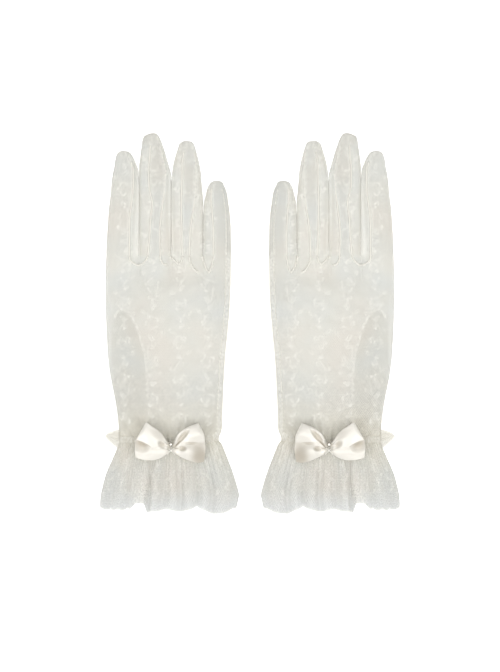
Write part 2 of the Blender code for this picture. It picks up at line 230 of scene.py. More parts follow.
# The net's two sets of threads cross at a slant and make its diamonds. They lie a little unevenly.
slack = add(tree, "ShaderNodeTexNoise", {"Vector": cut, "Scale": 0.35, "Detail": 1.0}).outputs["Color"]
slack = add(tree, "ShaderNodeVectorMath", {0: slack, "Scale": 1.1}, operation="SCALE").outputs[0]
loose = add(tree, "ShaderNodeVectorMath", {0: cut, 1: slack}, operation="ADD").outputs[0]
loose = add(tree, "ShaderNodeSeparateXYZ", {0: loose})
threads = []
for slope in (NET_SLOPE, -NET_SLOPE):
    along = {0: loose.outputs["Y"], 1: slope, 2: loose.outputs["X"]}
    along = add(tree, "ShaderNodeMath", along, operation="MULTIPLY_ADD").outputs[0]
    repeat = add(tree, "ShaderNodeMath", {0: along, 1: NET_SPACING / 2}, operation="PINGPONG").outputs[0]
    on_thread = {"Value": repeat, "From Min": 0.1, "From Max": 0.3, "To Min": 1.0, "To Max": 0.0}
    threads.append(add(tree, "ShaderNodeMapRange", on_thread).outputs["Result"])
net = add(tree, "ShaderNodeMath", {0: threads[0], 1: threads[1]}, operation="MAXIMUM").outputs[0]
yarn = add(tree, "ShaderNodeTexNoise", {"Vector": cut, "Scale": 1.1, "Detail": 3.0, "Roughness": 0.7})
yarn = yarn.outputs["Fac"]
uneven = {"Value": yarn, "From Min": 0.3, "From Max": 0.7, "To Min": -0.16, "To Max": 0.16}
uneven = add(tree, "ShaderNodeMapRange", uneven).outputs["Result"]
ground = add(tree, "ShaderNodeMapRange", {"Value": net, "To Min": 0.50, "To Max": 0.80}).outputs["Result"]
ground = add(tree, "ShaderNodeMath", {0: ground, 1: uneven}, operation="ADD").outputs[0]
ground = add(tree, "ShaderNodeMath", {0: bunched_and_shade, 1: 0.12, 2: ground}, operation="MULTIPLY_ADD").outputs[0]
solid = add(tree, "ShaderNodeMix", {"Factor": worked, 2: ground, 3: 0.95}, data_type="FLOAT").outputs[0]
tree.links.new(solid, shader.inputs["Alpha"])

# The ivory drifts in tone, and greys towards the frill's hem. Where the net is drawn up closer its tone is
# painted darker, as painted shade, and lighter where it lies open; a beige painted shade lies about the
# wrist. The worked parts are the brightest.
drift = add(tree, "ShaderNodeTexNoise", {"Vector": cut, "Scale": 0.024, "Detail": 2.0, "Roughness": 0.55})
tone = add(tree, "ShaderNodeValToRGB", {"Fac": drift.outputs["Fac"]})
ramp = tone.color_ramp
ramp.elements[0].position, ramp.elements[0].color = 0.34, linear("#E0E2DF")
ramp.elements[1].position, ramp.elements[1].color = 0.68, linear("#E4E0D8")
ramp.elements.new(0.52).color = linear("#E3E2DB")
# Painted shade and light: closely drawn net is painted up to a tenth darker, open net a little lighter.
painted_light_and_shade = add(tree, "ShaderNodeMapRange", {"Value": bunched_and_shade, "From Min": -1.0, "To Min": 1.09, "To Max": 0.9})
tone = {0: tone.outputs["Color"], "Scale": painted_light_and_shade.outputs["Result"]}
tone = add(tree, "ShaderNodeVectorMath", tone, operation="SCALE").outputs[0]
# A beige painted shade about the wrist, round the bow: up to 0.6 of the way within 4 mm, none past 26 mm.
off_wrist = add(tree, "ShaderNodeMath", {0: place.outputs["Y"], 1: 74.0}, operation="ADD").outputs[0]
off_wrist = add(tree, "ShaderNodeMath", {0: off_wrist}, operation="ABSOLUTE").outputs[0]
beige_painted_shade = {"Value": off_wrist, "From Min": 4.0, "From Max": 26.0, "To Min": 0.6, "To Max": 0.0}
beige_painted_shade = add(tree, "ShaderNodeMapRange", beige_painted_shade).outputs["Result"]
near_hem = {"Value": place.outputs["Y"], "From Min": -110.0, "From Max": -122.0, "To Min": 0.0, "To Max": 0.8}
near_hem = add(tree, "ShaderNodeMapRange", near_hem).outputs["Result"]
for share, colour in ((beige_painted_shade, "#E2DCCB"), (near_hem, "#E2E4E4"), (worked, "#F2F1EB")):
    tone = {"Factor": share, 6: tone, 7: linear(colour)}
    tone = add(tree, "ShaderNodeMix", tone, data_type="RGBA").outputs[2]
tree.links.new(tone, shader.inputs["Base Color"])
height = add(tree, "ShaderNodeMath", {0: net, 1: 0.5, 2: yarn}, operation="MULTIPLY_ADD").outputs[0]
bump = add(tree, "ShaderNodeBump", {"Height": height, "Strength": 0.4, "Distance": 0.0003})
tree.links.new(bump.outputs["Normal"], shader.inputs["Normal"])


# ---- Hand ----
# The trank: one piece of lace for the palm and the back, folded at the index finger's side and closed
# by a seam at the little finger's. It lies on the folded thumb, and runs on into the fingers.

GLOVES = (("right", -1), ("left", 1))
WRIST_Y, ROOT_Y, FOLD_Y = -72.4, 42.0, 49.825
HAND_OUTER = [
    (-76, 81.6), (-70, 81.9), (-61, 82.6), (-51, 83.9), (-41, 85.8), (-31, 87.7), (-20, 88.9),
    (-8, 89.6), (6, 90.2), (20, 90.4), (34, 90.4), (42, 90.2),
]
HAND_INNER = [
    (-76, 19.7), (-72.4, 19.7), (-69.6, 18.6), (-66, 17.6), (-61, 17.5), (-45, 16.9), (-31, 16.2),
    (-20, 15.5), (-10, 14.5), (2, 13.4), (14, 12.6), (30, 12.1), (42, 11.9),
]
HAND_FLOOR = [(-76, 3.3), (-60, 3.6), (6, 3.6), (12, 3.1), (28, 0.35), (44, 0.25)]
HAND_HEIGHT = [(-76, 7.2), (-60, 6.9), (-38, 6.4), (-15, 6.1), (9, 5.9), (26, 5.2), (42, 4.0)]
# Each finger's two edges, as u at each y, from its root to its tip.
FINGER_OUTER = {
    "index": [
        (42, 90.2), (51, 89.9), (61, 89.3), (70, 88.7), (76.3, 88.0), (82, 87.3), (88.2, 86.8),
        (93.9, 86.0), (98.3, 85.1), (101.4, 84.8), (103.9, 84.2), (105.8, 83.6), (107.1, 82.6),
        (107.8, 81.2), (108.1, 79.5),
    ],
    "middle": [
        (42, 69.6), (92, 69.6), (96.4, 69.6), (99.5, 69.5), (102.7, 69.1), (107.7, 68.5), (111.5, 67.9),
        (114, 67.6), (116.5, 66.9), (117.4, 66.3), (118.2, 64.6), (118.9, 62.9), (119.3, 60.8),
    ],
    "ring": [
        (42, 49.27), (90, 49.25), (95.1, 48.8), (100.8, 47.9), (105.2, 46.7), (108.3, 45.7), (110.8, 44.9),
        (112.2, 44.4), (113.3, 43.2), (114.0, 42.1), (114.4, 40.4),
    ],
    "little": [
        (42, 29.27), (70, 29.2), (75.7, 28.8), (80.1, 27.9), (83.2, 27.2), (85.7, 26.3), (87.3, 25.3),
        (88.3, 24.4), (89.0, 22.9), (89.4, 20.4),
    ],
}
FINGER_INNER = {
    "index": [
        (42, 69.73), (92, 69.75), (94.5, 69.9), (96.4, 70.2), (98.3, 70.8), (101.4, 72.0), (103.9, 73.3),
        (105.8, 74.4), (107.1, 75.6), (107.8, 77.5), (108.1, 79.5),
    ],
    "middle": [
        (42, 49.4), (90, 49.4), (93, 49.5), (96.4, 50.2), (102.7, 52.0), (107.7, 53.4), (111.5, 54.8),
        (114, 55.7), (116.5, 56.8), (118.0, 57.8), (118.9, 58.9), (119.3, 60.8),
    ],
    "ring": [
        (42, 29.4), (66, 29.35), (76.9, 29.4), (88.2, 30.3), (95.1, 30.9), (100.8, 31.9), (105.2, 33.0),
        (109.6, 34.3), (111.5, 34.9), (113.2, 36.0), (114.0, 37.5), (114.4, 40.4),
    ],
    "little": [
        (42, 11.9), (51.8, 12.1), (63.1, 12.4), (70, 13.0), (75.7, 13.8), (80.1, 14.4), (83.2, 15.1),
        (86.2, 16.4), (88.0, 17.1), (88.9, 18.4), (89.4, 20.4),
    ],
}
FINGERS = tuple(FINGER_OUTER)
ROOTS = {finger: (FINGER_INNER[finger][0][1], FINGER_OUTER[finger][0][1]) for finger in FINGERS}
EDGE_Z, FINGER_RISE, FINGER_FLOOR = 1.5, 2.4, 0.25
PALM_UNFOLDED, THUMB_UNFOLDED = 180.0, 260.0  # a front point at u lies at this less u on the flat cloth
THUMB_OUTER = [
    (-68.5, 75.5), (-66.5, 79.4), (-62, 81.2), (-57, 82.2), (-48, 83.6), (-35, 86.0), (-20, 87.1),
    (-8, 86.6), (0, 85.4), (4, 84.1), (7, 82.2), (8.6, 79.6),
]
THUMB_INNER = [
    (-68.5, 75.5), (-66.5, 71.0), (-62, 67.0), (-57, 65.2), (-48, 64.2), (-35, 64.2), (-20, 65.4),
    (-8, 68.8), (0, 71.7), (4, 73.8), (7, 76.7), (8.6, 79.6),
]
MERGED = 0.00002  # points at a closed end that lie nearer than this, in metres, become one
RELIEF = 0.16  # how far the lace's worked parts stand out
SEAM_INSET = 3.0  # the closing seam's stitching, from the edge
KNOT_BUMP = 1.1  # how far the cloth stands up above the knot, where the bow's stitch draws it
KNOT = (49.2, -77.6)  # where the bow is stitched on, in u and y


def through(at, knots):
    """A smooth curve through knots (x, value): a cubic between each two, with slopes from np.gradient."""
    x, value = np.array(knots, float).T
    slope = np.gradient(value, x)
    low = np.clip(np.searchsorted(x, at) - 1, 0, len(x) - 2)
    span = x[low + 1] - x[low]
    t = np.clip((at - x[low]) / span, 0.0, 1.0)
    keep, rest = (1.0 + 2.0 * t) * (1.0 - t) ** 2, t * t * (3.0 - 2.0 * t)
    turn = span * (t * (1.0 - t) ** 2 * slope[low] - t * t * (1.0 - t) * slope[low + 1])
    return keep * value[low] + rest * value[low + 1] + turn


def crown(a):
    """How high cloth stands across a flattened tube, from 1 in the middle to 0 at either edge."""
    return (1.0 - np.clip(np.abs(a), 0.0, 1.0) ** 2.6) ** 0.55


def finger_across(u):
    """Where u lies across the nearest finger's root, from -1 to 1."""
    roots = np.array(list(ROOTS.values()))
    middles, halves = roots.mean(axis=1), (roots[:, 1] - roots[:, 0]) / 2
    across = (u[..., None] - middles) / halves
    nearest = np.abs(across).argmin(-1)
    return np.clip(np.take_along_axis(across, nearest[..., None], -1)[..., 0], -1.0, 1.0)


def gathers(u, y, depth):
    """Pleats that fan out from the knot: a sine across u, whose length grows with the distance up."""
    fan = (u - KNOT[0]) / (1.0 + np.clip(y - WRIST_Y, 0, None) / 34.0)
    wobble = 0.8 * wander(u, y, 23.0, 0.7)
    near = np.exp(-np.clip(y - WRIST_Y, 0, None) / 12.0)
    return depth * near * np.sin(2.0 * np.pi * fan / 3.9 + wobble) * (0.7 + 0.3 * np.sin(fan * 0.9))


def hand_place(a, y, under):
    """The hand's cloth at a, from -1 to 1 across it, and y, above or under the hand, as (u, y, z).

    The back stands over the floor by its height times the crown, with folds, and with gathers at the
    wrist. Near the roots the one wide section turns into four narrow ones, each finger's own.
    """
    outer, inner = through(y, HAND_OUTER), through(y, HAND_INNER)
    u = (outer + inner) / 2 + (outer - inner) / 2 * a
    floor, tall = through(y, HAND_FLOOR), through(y, HAND_HEIGHT)
    edge = floor + 0.28 * tall
    toward = ease((y - 22.0) / (ROOT_Y - 22.0))
    b = finger_across(u)
    folds = 0.55 * wander(u, y, 31.0, 0.2) + 0.3 * wander(u, y, 13.0, 1.1)
    folds = folds * crown(a) * (1.0 - toward) + gathers(u, y, 0.5) * crown(a)
    folds = folds + KNOT_BUMP * np.exp(-(((u - KNOT[0]) / 3.4) ** 2) - ((y - KNOT[1] - 6.6) / 3.6) ** 2)
    back = edge + 0.72 * tall * crown(a) + folds
    back = back + (EDGE_Z + FINGER_RISE * crown(b) - back) * toward
    palm = floor + (edge - floor) * np.abs(a) ** 9 + 0.2 * (1.0 - np.abs(a) ** 9) * wander(u, y, 17.0, 2.1)
    palm = palm + (FINGER_FLOOR + (EDGE_Z - FINGER_FLOOR) * np.abs(b) ** 8 - palm) * toward
    return np.stack([u, y + 0.0 * u, np.where(under, palm, back)], axis=-1)


def round_tube(count, closed=False):
    """Steps round a flattened tube: each one's turn, from 0 to 2, whether it's under, and its share across.

    The share rises from 0 at the first edge to 1 at the other, and falls again underneath.
    """
    turn = np.linspace(0.0, 2.0, count, endpoint=closed)
    under = turn >= 1.0
    return turn, under, np.where(under, 2.0 - turn, turn)


def cut_of(points, under, unfolded=PALM_UNFOLDED):
    """The place on the flat cloth: u and y on the back, and u unfolded past the fold on the front."""
    return np.stack([np.where(under, unfolded - points[..., 0], points[..., 0]), points[..., 1]], axis=-1)


def cloth(
    name, side, points, cut, worked, turned=1, keep=None, ring=True, poles=False, finish=lace, bunched_and_shade=0.0
):
    """A surface of quads over a grid of points (rows, columns, 3), in millimetres.

    cut is each point's place on the flat cloth, and worked how solid the lace is there. turned is -1
    where the left-hand glove's quads have to be turned over to face out. keep says which quads are made.
    A ring's last column joins its first. Poles are points to merge, at a closed end. The last argument is how
    much closer the net is drawn up, and 0 is flat; the lace's tone is painted darker by it, as painted shade,
    and lighter below 0.
    """
    count = points.shape[0] * points.shape[1]
    index = np.arange(count).reshape(points.shape[:2])
    here = index if ring else index[:, :-1]
    after = np.roll(index, -1, axis=1) if ring else index[:, 1:]
    quads = np.stack([here[:-1], after[:-1], after[1:], here[1:]], axis=-1)
    quads = quads.reshape(-1, 4) if keep is None else quads[keep[: quads.shape[0], : quads.shape[1]]]
    if side * turned < 0:
        quads = quads[:, ::-1]
    used, quads = np.unique(quads, return_inverse=True)
    mesh = bpy.data.meshes.new(name)
    placed = points.reshape(-1, 3)[used] * (side * 0.001, 0.001, 0.001)
    mesh.from_pydata(placed, [], quads.reshape(-1, 4))
    flat = np.zeros((len(used), 3))
    flat[:, :2] = cut.reshape(-1, 2)[used]
    flat[:, 2] = np.broadcast_to(bunched_and_shade, points.shape[:2]).reshape(-1)[used]
    mesh.attributes.new("cut", "FLOAT_VECTOR", "POINT").data.foreach_set("vector", flat.ravel())
    worked = np.broadcast_to(worked, points.shape[:2]).reshape(-1)[used]
    mesh.attributes.new("worked", "FLOAT", "POINT").data.foreach_set("value", np.clip(worked, 0, 1))
    if poles:
        build = bmesh.new()
        build.from_mesh(mesh)
        bmesh.ops.remove_doubles(build, verts=build.verts, dist=MERGED)
        bmesh.ops.dissolve_degenerate(build, edges=build.edges, dist=MERGED / 20)
        build.to_mesh(mesh)
        build.free()
    mesh.shade_smooth()
    mesh.materials.append(finish)
    return put(name, mesh)


def raised(points, worked, under):
    """The same points with the worked parts of the lace standing out from the cloth."""
    lift = RELIEF * worked * np.where(under, -0.5, 1.0)
    return points + lift[..., None] * np.array((0.0, 0.0, 1.0))


HAND_COLUMNS, HAND_ROWS = 260, 180
_, under, share = round_tube(HAND_COLUMNS)  # from the inner edge over the back, and home underneath
across = 2.0 * share - 1.0
across = 0.62 * across + 0.38 * np.sin(np.pi * across / 2)  # closer together at the edges
y = np.linspace(WRIST_Y, ROOT_Y, HAND_ROWS)[:, None]
hand_points = hand_place(across[None], y, under[None])
hand_cut = cut_of(hand_points, under)
hand_worked = sprigs(hand_cut[..., 0], hand_cut[..., 1])
from_edge = hand_points[..., 0] - through(y, HAND_INNER)
allowance = ease((SEAM_INSET + 0.3 - from_edge) / 0.5) * 0.4
# The thumb's seam presses a soft line into the back that lies over it. The line is also painted lighter,
# as painted light for the bright seam showing through.
inner_y, tip_y = np.linspace(-52.0, 8.5, 130), np.linspace(8.5, 4.0, 20)
seam_y = np.concatenate([inner_y, tip_y])
seam_u = np.concatenate([through(inner_y, THUMB_INNER), through(tip_y, THUMB_OUTER)]) + 0.3
apart = np.hypot(hand_points[..., :1] - seam_u, hand_points[..., 1:2] - seam_y).min(-1)
pressed_and_painted_light = np.where(under, 0.0, line(apart, 1.8))
pressed_and_painted_light = pressed_and_painted_light * ease((y + 56.0) / 14.0) * (0.62 + 0.38 * ease((y + 22.0) / 20.0))
hand_worked = np.maximum.reduce([hand_worked * 0.52, allowance + 0.0 * hand_worked, 0.62 * pressed_and_painted_light])
hand_points = raised(hand_points, hand_worked, under)
# Towards the wrist and the little finger's side the net is drawn in closer, and its tone painted darker as
# painted shade.
drawn_in_and_shade = 0.6 * ease((-18.0 - y) / 34.0) + 0.35 * ease((34.0 - hand_points[..., 0]) / 16.0)
for glove, side in GLOVES:
    trank = cloth(f"{glove}_hand", side, hand_points, hand_cut, hand_worked, bunched_and_shade=drawn_in_and_shade)
    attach(trank, f"{glove}_hand")
    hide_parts(f"{glove}_hand_trank")


# ---- Fingers ----
# Each stall is the trank's back and front strips, joined over the fingertip. The fourchettes are the
# gussets let in between the strips down the sides where two fingers meet.

# How far each fourchette's seams lie from the finger's edge, on the back and on the front, in
# millimetres at shares of the finger's length.
FOURCHETTES = {
    ("index", "inner"): ([(0, 5.8), (0.4, 5.6), (0.58, 4.1), (0.87, 2.9)], [(0, 4.6), (0.87, 1.4)]),
    ("middle", "outer"): (
        [(0, 5.6), (0.13, 6.6), (0.28, 7.2), (0.44, 8.3), (0.55, 6.4), (0.66, 6.1), (0.8, 6.2), (0.9, 5.4)],
        [(0, 1.2), (0.5, 0.9), (0.9, 0.8)],
    ),
    ("middle", "inner"): (
        [(0, 6.9), (0.22, 7.2), (0.45, 5.2), (0.7, 3.2), (0.9, 2.0)], [(0, 1.0), (0.2, 2.5), (0.9, 1.4)],
    ),
    ("ring", "outer"): ([(0, 7.0), (0.45, 6.8), (0.7, 6.5), (0.9, 4.6)], [(0, 2.4), (0.9, 1.2)]),
    ("ring", "inner"): ([(0, 8.5), (0.22, 8.0), (0.45, 5.6), (0.9, 1.6)], [(0, 1.0), (0.9, 1.2)]),
    ("little", "outer"): ([(0, 6.3), (0.45, 6.2), (0.65, 5.0), (0.9, 2.8)], [(0, 1.6), (0.9, 1.0)]),
}
CLOSED_SIDE = ([(0, 3.0), (0.87, 2.2)], [(0, 3.0), (0.87, 2.2)])
FOURCHETTE_END = 0.9
# How much closer than flat cloth each finger's net looks, and how much darker its tone is painted, as
# painted shade. The fourchettes lie stretched open, and their tone is painted lighter.
FINGER_BUNCHED_AND_SHADE = {"index": 0.25, "middle": 0.6, "ring": 0.5, "little": 0.7}
STRETCHED = 1.3
# How full a finger is at each distance from its tip.
FINGER_FULLNESS = [(0, 0), (0.6, 0.2), (2.0, 0.42), (5.0, 0.68), (10, 0.88), (18, 1.0), (90, 1.0)]
STRIP, SIDE = 26, 12  # columns across a strip, and round a side
FINGER_STEP = 0.62  # millimetres from row to row, on average
TIP_Z = 0.55


def finger_grid(finger):
    """A finger's rings from its root to its tip: the back strip, inner side, front strip, outer side.

    Returns the points, which of the columns lie under, each point's distance from the nearest
    fourchette seam, and each row's share of the finger's length.
    """
    tip_y = FINGER_OUTER[finger][-1][0]
    rows = int((tip_y - ROOT_Y) / FINGER_STEP)
    to_tip = (tip_y - ROOT_Y) * np.linspace(1.0, 0.0, rows) ** 1.35  # closer together at the tip
    share = 1.0 - to_tip / (tip_y - ROOT_Y)
    outer = through(tip_y - to_tip, FINGER_OUTER[finger])
    inner = through(tip_y - to_tip, FINGER_INNER[finger])
    half = np.maximum((outer - inner) / 2, 0.0)
    full = through(to_tip, FINGER_FULLNESS)
    seams = {
        edge: [
            1.0 - np.minimum(through(share, knots) / np.maximum(half, 1e-6), 0.92)
            for knots in FOURCHETTES.get((finger, edge), CLOSED_SIDE)
        ]
        for edge in ("outer", "inner")
    }
    strip = np.linspace(0.0, 1.0, STRIP, endpoint=False)
    side = np.linspace(0.0, 1.0, SIDE, endpoint=False)
    in_back = (side < 0.5)[None]
    out = np.abs(2.0 * side - 1.0)[None] ** 1.5

    def blend(start, end, at):
        return start[:, None] + (end - start)[:, None] * at[None]

    parts = [
        blend(seams["outer"][0], -seams["inner"][0], strip),
        -1.0 + (1.0 - np.where(in_back, seams["inner"][0][:, None], seams["inner"][1][:, None])) * out,
        blend(-seams["inner"][1], seams["outer"][1], strip),
        1.0 - (1.0 - np.where(in_back, seams["outer"][1][:, None], seams["outer"][0][:, None])) * out,
    ]
    a = np.concatenate(parts, axis=1)
    beneath = np.concatenate([np.zeros(STRIP), side >= 0.5, np.ones(STRIP), side < 0.5]).astype(bool)
    u = ((outer + inner) / 2 + half * a.T).T
    y = np.broadcast_to((tip_y - to_tip)[:, None], u.shape)
    creases = 0.2 * wander(u * 2.6, y, 30.0, 0.4) + 0.14 * wander(u * 3.0, y, 17.0, 1.9)
    edge_z = TIP_Z + (EDGE_Z - TIP_Z) * full[:, None]
    rooted = ease(share * 9.0)[:, None]
    back = edge_z + full[:, None] * crown(a) * (FINGER_RISE + creases * rooted)
    front = FINGER_FLOOR + (edge_z - FINGER_FLOOR) * np.where(half[:, None] > 0.01, np.abs(a) ** 8, 1.0)
    z = np.where(beneath[None], np.minimum(front, back), back)
    near = np.minimum.reduce([
        np.abs(a - sign * seams[edge][layer][:, None]) * half[:, None] + 9.0 * (beneath != bool(layer))
        for edge, sign in (("outer", 1), ("inner", -1)) for layer in (0, 1)
        if (finger, edge) in FOURCHETTES
    ])
    return np.stack([u, y, z], axis=-1), beneath, near, share


GUSSET_COLUMNS = {"inner": slice(STRIP, STRIP + SIDE), "outer": slice(2 * STRIP + SIDE, None)}
fingers = {finger: finger_grid(finger) for finger in FINGERS}


def bend(piece, glove, finger, side):
    """Bakes the piece's place into its mesh."""
    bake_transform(piece)


for finger, (points, beneath, near, share) in fingers.items():
    flat = cut_of(points, beneath)
    solid = np.maximum(sprigs(flat[..., 0], flat[..., 1]) * 0.5, 0.46 * line(near, 3.2))
    gusset = {
        edge: np.zeros(points.shape[:2], bool) for edge in GUSSET_COLUMNS if (finger, edge) in FOURCHETTES
    }
    for edge, where in gusset.items():
        where[: share.searchsorted(FOURCHETTE_END), GUSSET_COLUMNS[edge]] = True
    trank_part = ~np.any(list(gusset.values()), axis=0)
    points = raised(points, solid, beneath)
    for glove, side in GLOVES:
        stall = cloth(
            f"{glove}_{finger}_finger", side, points, flat, solid, turned=-1, keep=trank_part, poles=True,
            bunched_and_shade=FINGER_BUNCHED_AND_SHADE[finger],
        )
        bend(stall, glove, finger, side)
        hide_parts(f"{glove}_{finger}_stall")
        for edge, where in gusset.items():
            strip = cloth(
                f"{glove}_{finger}_gusset_{edge}", side, points, flat + (37.0, 11.0), solid * 0.9 + 0.06,
                turned=-1, keep=where, bunched_and_shade=FINGER_BUNCHED_AND_SHADE[finger] - STRETCHED,
            )
            bend(strip, glove, finger, side)
            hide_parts(f"{glove}_{finger}_fourchette_{edge}")


# ---- Seams ----
# Spun polyester thread. Fine overlocked seams hold the fourchettes, and run round each crotch between
# two fingers. The side is closed by a row of stitches inside a rolled edge.

SEAM_RADIUS, STITCH, STITCH_GAP = 0.56, 1.9, 0.75
# The crotches' seams, as (u, y). They run on from the fingers' seams.
CROTCHES = (
    [(75.65, 42), (75.3, 39.8), (73.1, 37.5), (69.7, 36.2), (66.6, 37.7), (64.6, 40.4), (63.95, 42)],
    [(56.4, 42), (55.9, 39.6), (54.5, 37.1), (51.7, 36.1)],
    [(50.4, 42), (48.6, 40.6), (46.7, 38.6), (44.6, 36.9), (42.9, 39), (42.15, 42)],
    [(38.0, 42), (37.7, 39.5), (37.1, 37.1), (34.6, 33.0), (32.4, 32.2)],
    [(30.2, 42), (29.6, 40.0), (28.1, 35.3), (25.7, 31.9), (24.1, 35.3), (23.1, 39.5), (22.8, 42)],
)

# Its short fibres scatter light, so it looks matt and a little brighter than the net.
thread, tree, shader = finish(
    "spun polyester thread", Base_Color=linear("#FAF8F0"), Roughness=0.7, Sheen_Weight=0.3
)
place = add(tree, "ShaderNodeTexCoord").outputs["Object"]
strands = add(tree, "ShaderNodeTexWave", {"Vector": place, "Scale": 260.0, "Distortion": 3.0}).outputs["Fac"]
bump = add(tree, "ShaderNodeBump", {"Height": strands, "Strength": 0.4, "Distance": 0.0002})
tree.links.new(bump.outputs["Normal"], shader.inputs["Normal"])
cover = add(tree, "ShaderNodeMapRange", {"Value": strands, "To Min": 0.72, "To Max": 0.94})
tree.links.new(cover.outputs["Result"], shader.inputs["Alpha"])


def travelled(path):
    """How far along the path each of its points lies."""
    return np.concatenate([[0], np.cumsum(np.linalg.norm(np.diff(path, axis=0), axis=1))])


def cords(name, side, paths, radius, finish=thread, sides=8, swell=0.0, upright=(0.0, 0.0, 1.0)):
    """Round threads in one mesh, each along its path (points, 3) in millimetres, closed at its ends.

    A ring of the tube is path + r (cos k across + sin k above), where across is square to the path and
    to upright. swell makes r a little larger at the middle of each stitch.
    """
    vertices, faces, start = [], [], 0
    k = np.linspace(0.0, 2.0 * np.pi, sides, endpoint=False)
    for path in paths:
        ahead = np.gradient(path, axis=0)
        ahead /= np.linalg.norm(ahead, axis=1, keepdims=True)
        across = np.cross(ahead, upright)
        across /= np.linalg.norm(across, axis=1, keepdims=True)
        above = np.cross(across, ahead)
        gone = travelled(path)
        r = radius * (1.0 + swell * np.sin(2.0 * np.pi * gone / 2.2))
        rise = np.minimum(gone, gone[-1] - gone) / radius
        r = (r * np.sqrt(np.clip(rise + 0.25, 0.25, 1.0)))[:, None, None]
        spoke = np.cos(k)[None, :, None] * across[:, None] + np.sin(k)[None, :, None] * above[:, None]
        rings = path[:, None] + r * spoke
        index = start + np.arange(len(path) * sides).reshape(len(path), sides)
        after = np.roll(index, -1, axis=1)
        quads = np.stack([index[:-1], after[:-1], after[1:], index[1:]], axis=-1).reshape(-1, 4)
        vertices.append(rings.reshape(-1, 3))
        faces += quads.tolist() + [index[0][::-1].tolist(), index[-1].tolist()]
        start += len(path) * sides
    mesh = bpy.data.meshes.new(name)
    mesh.from_pydata(np.concatenate(vertices) * (side * 0.001, 0.001, 0.001), [], faces)
    build = bmesh.new()
    build.from_mesh(mesh)
    bmesh.ops.recalc_face_normals(build, faces=build.faces)
    build.to_mesh(mesh)
    build.free()
    mesh.shade_smooth()
    mesh.materials.append(finish)
    return put(name, mesh)


def on_hand(u, y, under, lift):
    """Points on the hand's cloth at u and y, raised by lift, with the hand's place worked back from u."""
    outer, inner = through(y, HAND_OUTER), through(y, HAND_INNER)
    a = (2.0 * u - outer - inner) / (outer - inner)
    return hand_place(a, y, under) + (0.0, 0.0, lift)


def stitches(path, length, gap):
    """The path cut into stitches of that length, with a gap between each two."""
    gone = travelled(path)
    starts = np.arange(gap, gone[-1] - length, length + gap)
    ends = [np.linspace(begin, begin + length, 5) for begin in starts]
    return [np.stack([np.interp(at, gone, path[:, k]) for k in range(3)], axis=1) for at in ends]


# The share of two fingers' length from which the back seam on the inner side sinks into the cloth.
SEAM_SINKS, SUNK = {"middle": 0.38, "ring": 0.34}, 0.75
for finger, (points, beneath, near, share) in fingers.items():
    last = share.searchsorted(FOURCHETTE_END)
    # A fourchette's seam columns on the back and on the front, by the side that it is let into.
    seam_columns = {"outer": (0, 2 * STRIP + SIDE), "inner": (STRIP, STRIP + SIDE)}
    paths = []
    for edge, columns in seam_columns.items():
        if (finger, edge) in FOURCHETTES:
            for column, lift in zip(columns, (0.3, 0.42)):
                path = points[:last, column] + (0.0, 0.0, lift)
                if edge == "inner" and column == columns[0] and finger in SEAM_SINKS:
                    path[:, 2] -= SUNK * ease((share[:last] - SEAM_SINKS[finger]) / 0.16)
                paths.append(path)
    for glove, side in GLOVES:
        seam = cords(f"{glove}_{finger}_seams", side, paths, SEAM_RADIUS, swell=0.14)
        bend(seam, glove, finger, side)

crotch_paths = []
for knots in map(np.array, CROTCHES):
    steps = np.arange(len(knots))
    fine = np.linspace(0, len(knots) - 1, 14 * len(knots))
    u, y = (through(fine, np.stack([steps, knots[:, k]], axis=1)) for k in (0, 1))
    crotch_paths.append(on_hand(u, y, False, 0.4))

y = np.linspace(WRIST_Y + 2.0, ROOT_Y - 0.4, 170)
side_lines = [
    on_hand(through(y, HAND_INNER) + SEAM_INSET, y, layer, lift)
    for layer, lift in ((False, 0.15), (True, 0.4))
]
rolled_edge = on_hand(through(y, HAND_INNER) + 0.15, y, False, 0.0)
little_points, _, _, little_share = fingers["little"]
last = little_share.searchsorted(0.93)
little_edge = little_points[:last, STRIP + SIDE // 2] + (0.1, 0.0, 0.0)
little_lines = [
    little_points[:last, column] + (0.0, 0.0, lift) for column, lift in ((STRIP, 0.15), (STRIP + SIDE, 0.4))
]
for glove, side in GLOVES:
    crotch = cords(f"{glove}_crotch_seams", side, crotch_paths, SEAM_RADIUS, swell=0.16)
    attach(crotch, f"{glove}_hand")
    sewn = [stitch for path in side_lines for stitch in stitches(path, STITCH, STITCH_GAP)]
    closing = cords(f"{glove}_closing_seam", side, [rolled_edge, *sewn], 0.34, swell=0.1)
    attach(closing, f"{glove}_hand")
    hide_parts(f"{glove}_side_seam")
    sewn = [stitch for path in little_lines for stitch in stitches(path, STITCH, STITCH_GAP)]
    closing = cords(f"{glove}_little_closing_seam", side, [little_edge, *sewn], 0.34, swell=0.1)
    bend(closing, glove, "little", side)
    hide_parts(f"{glove}_little_side_seam")


# ---- Thumb ----
# The thumb is a stall of its own, sewn into a round hole in the palm and folded flat beneath it, so
# that its seams show through the back.

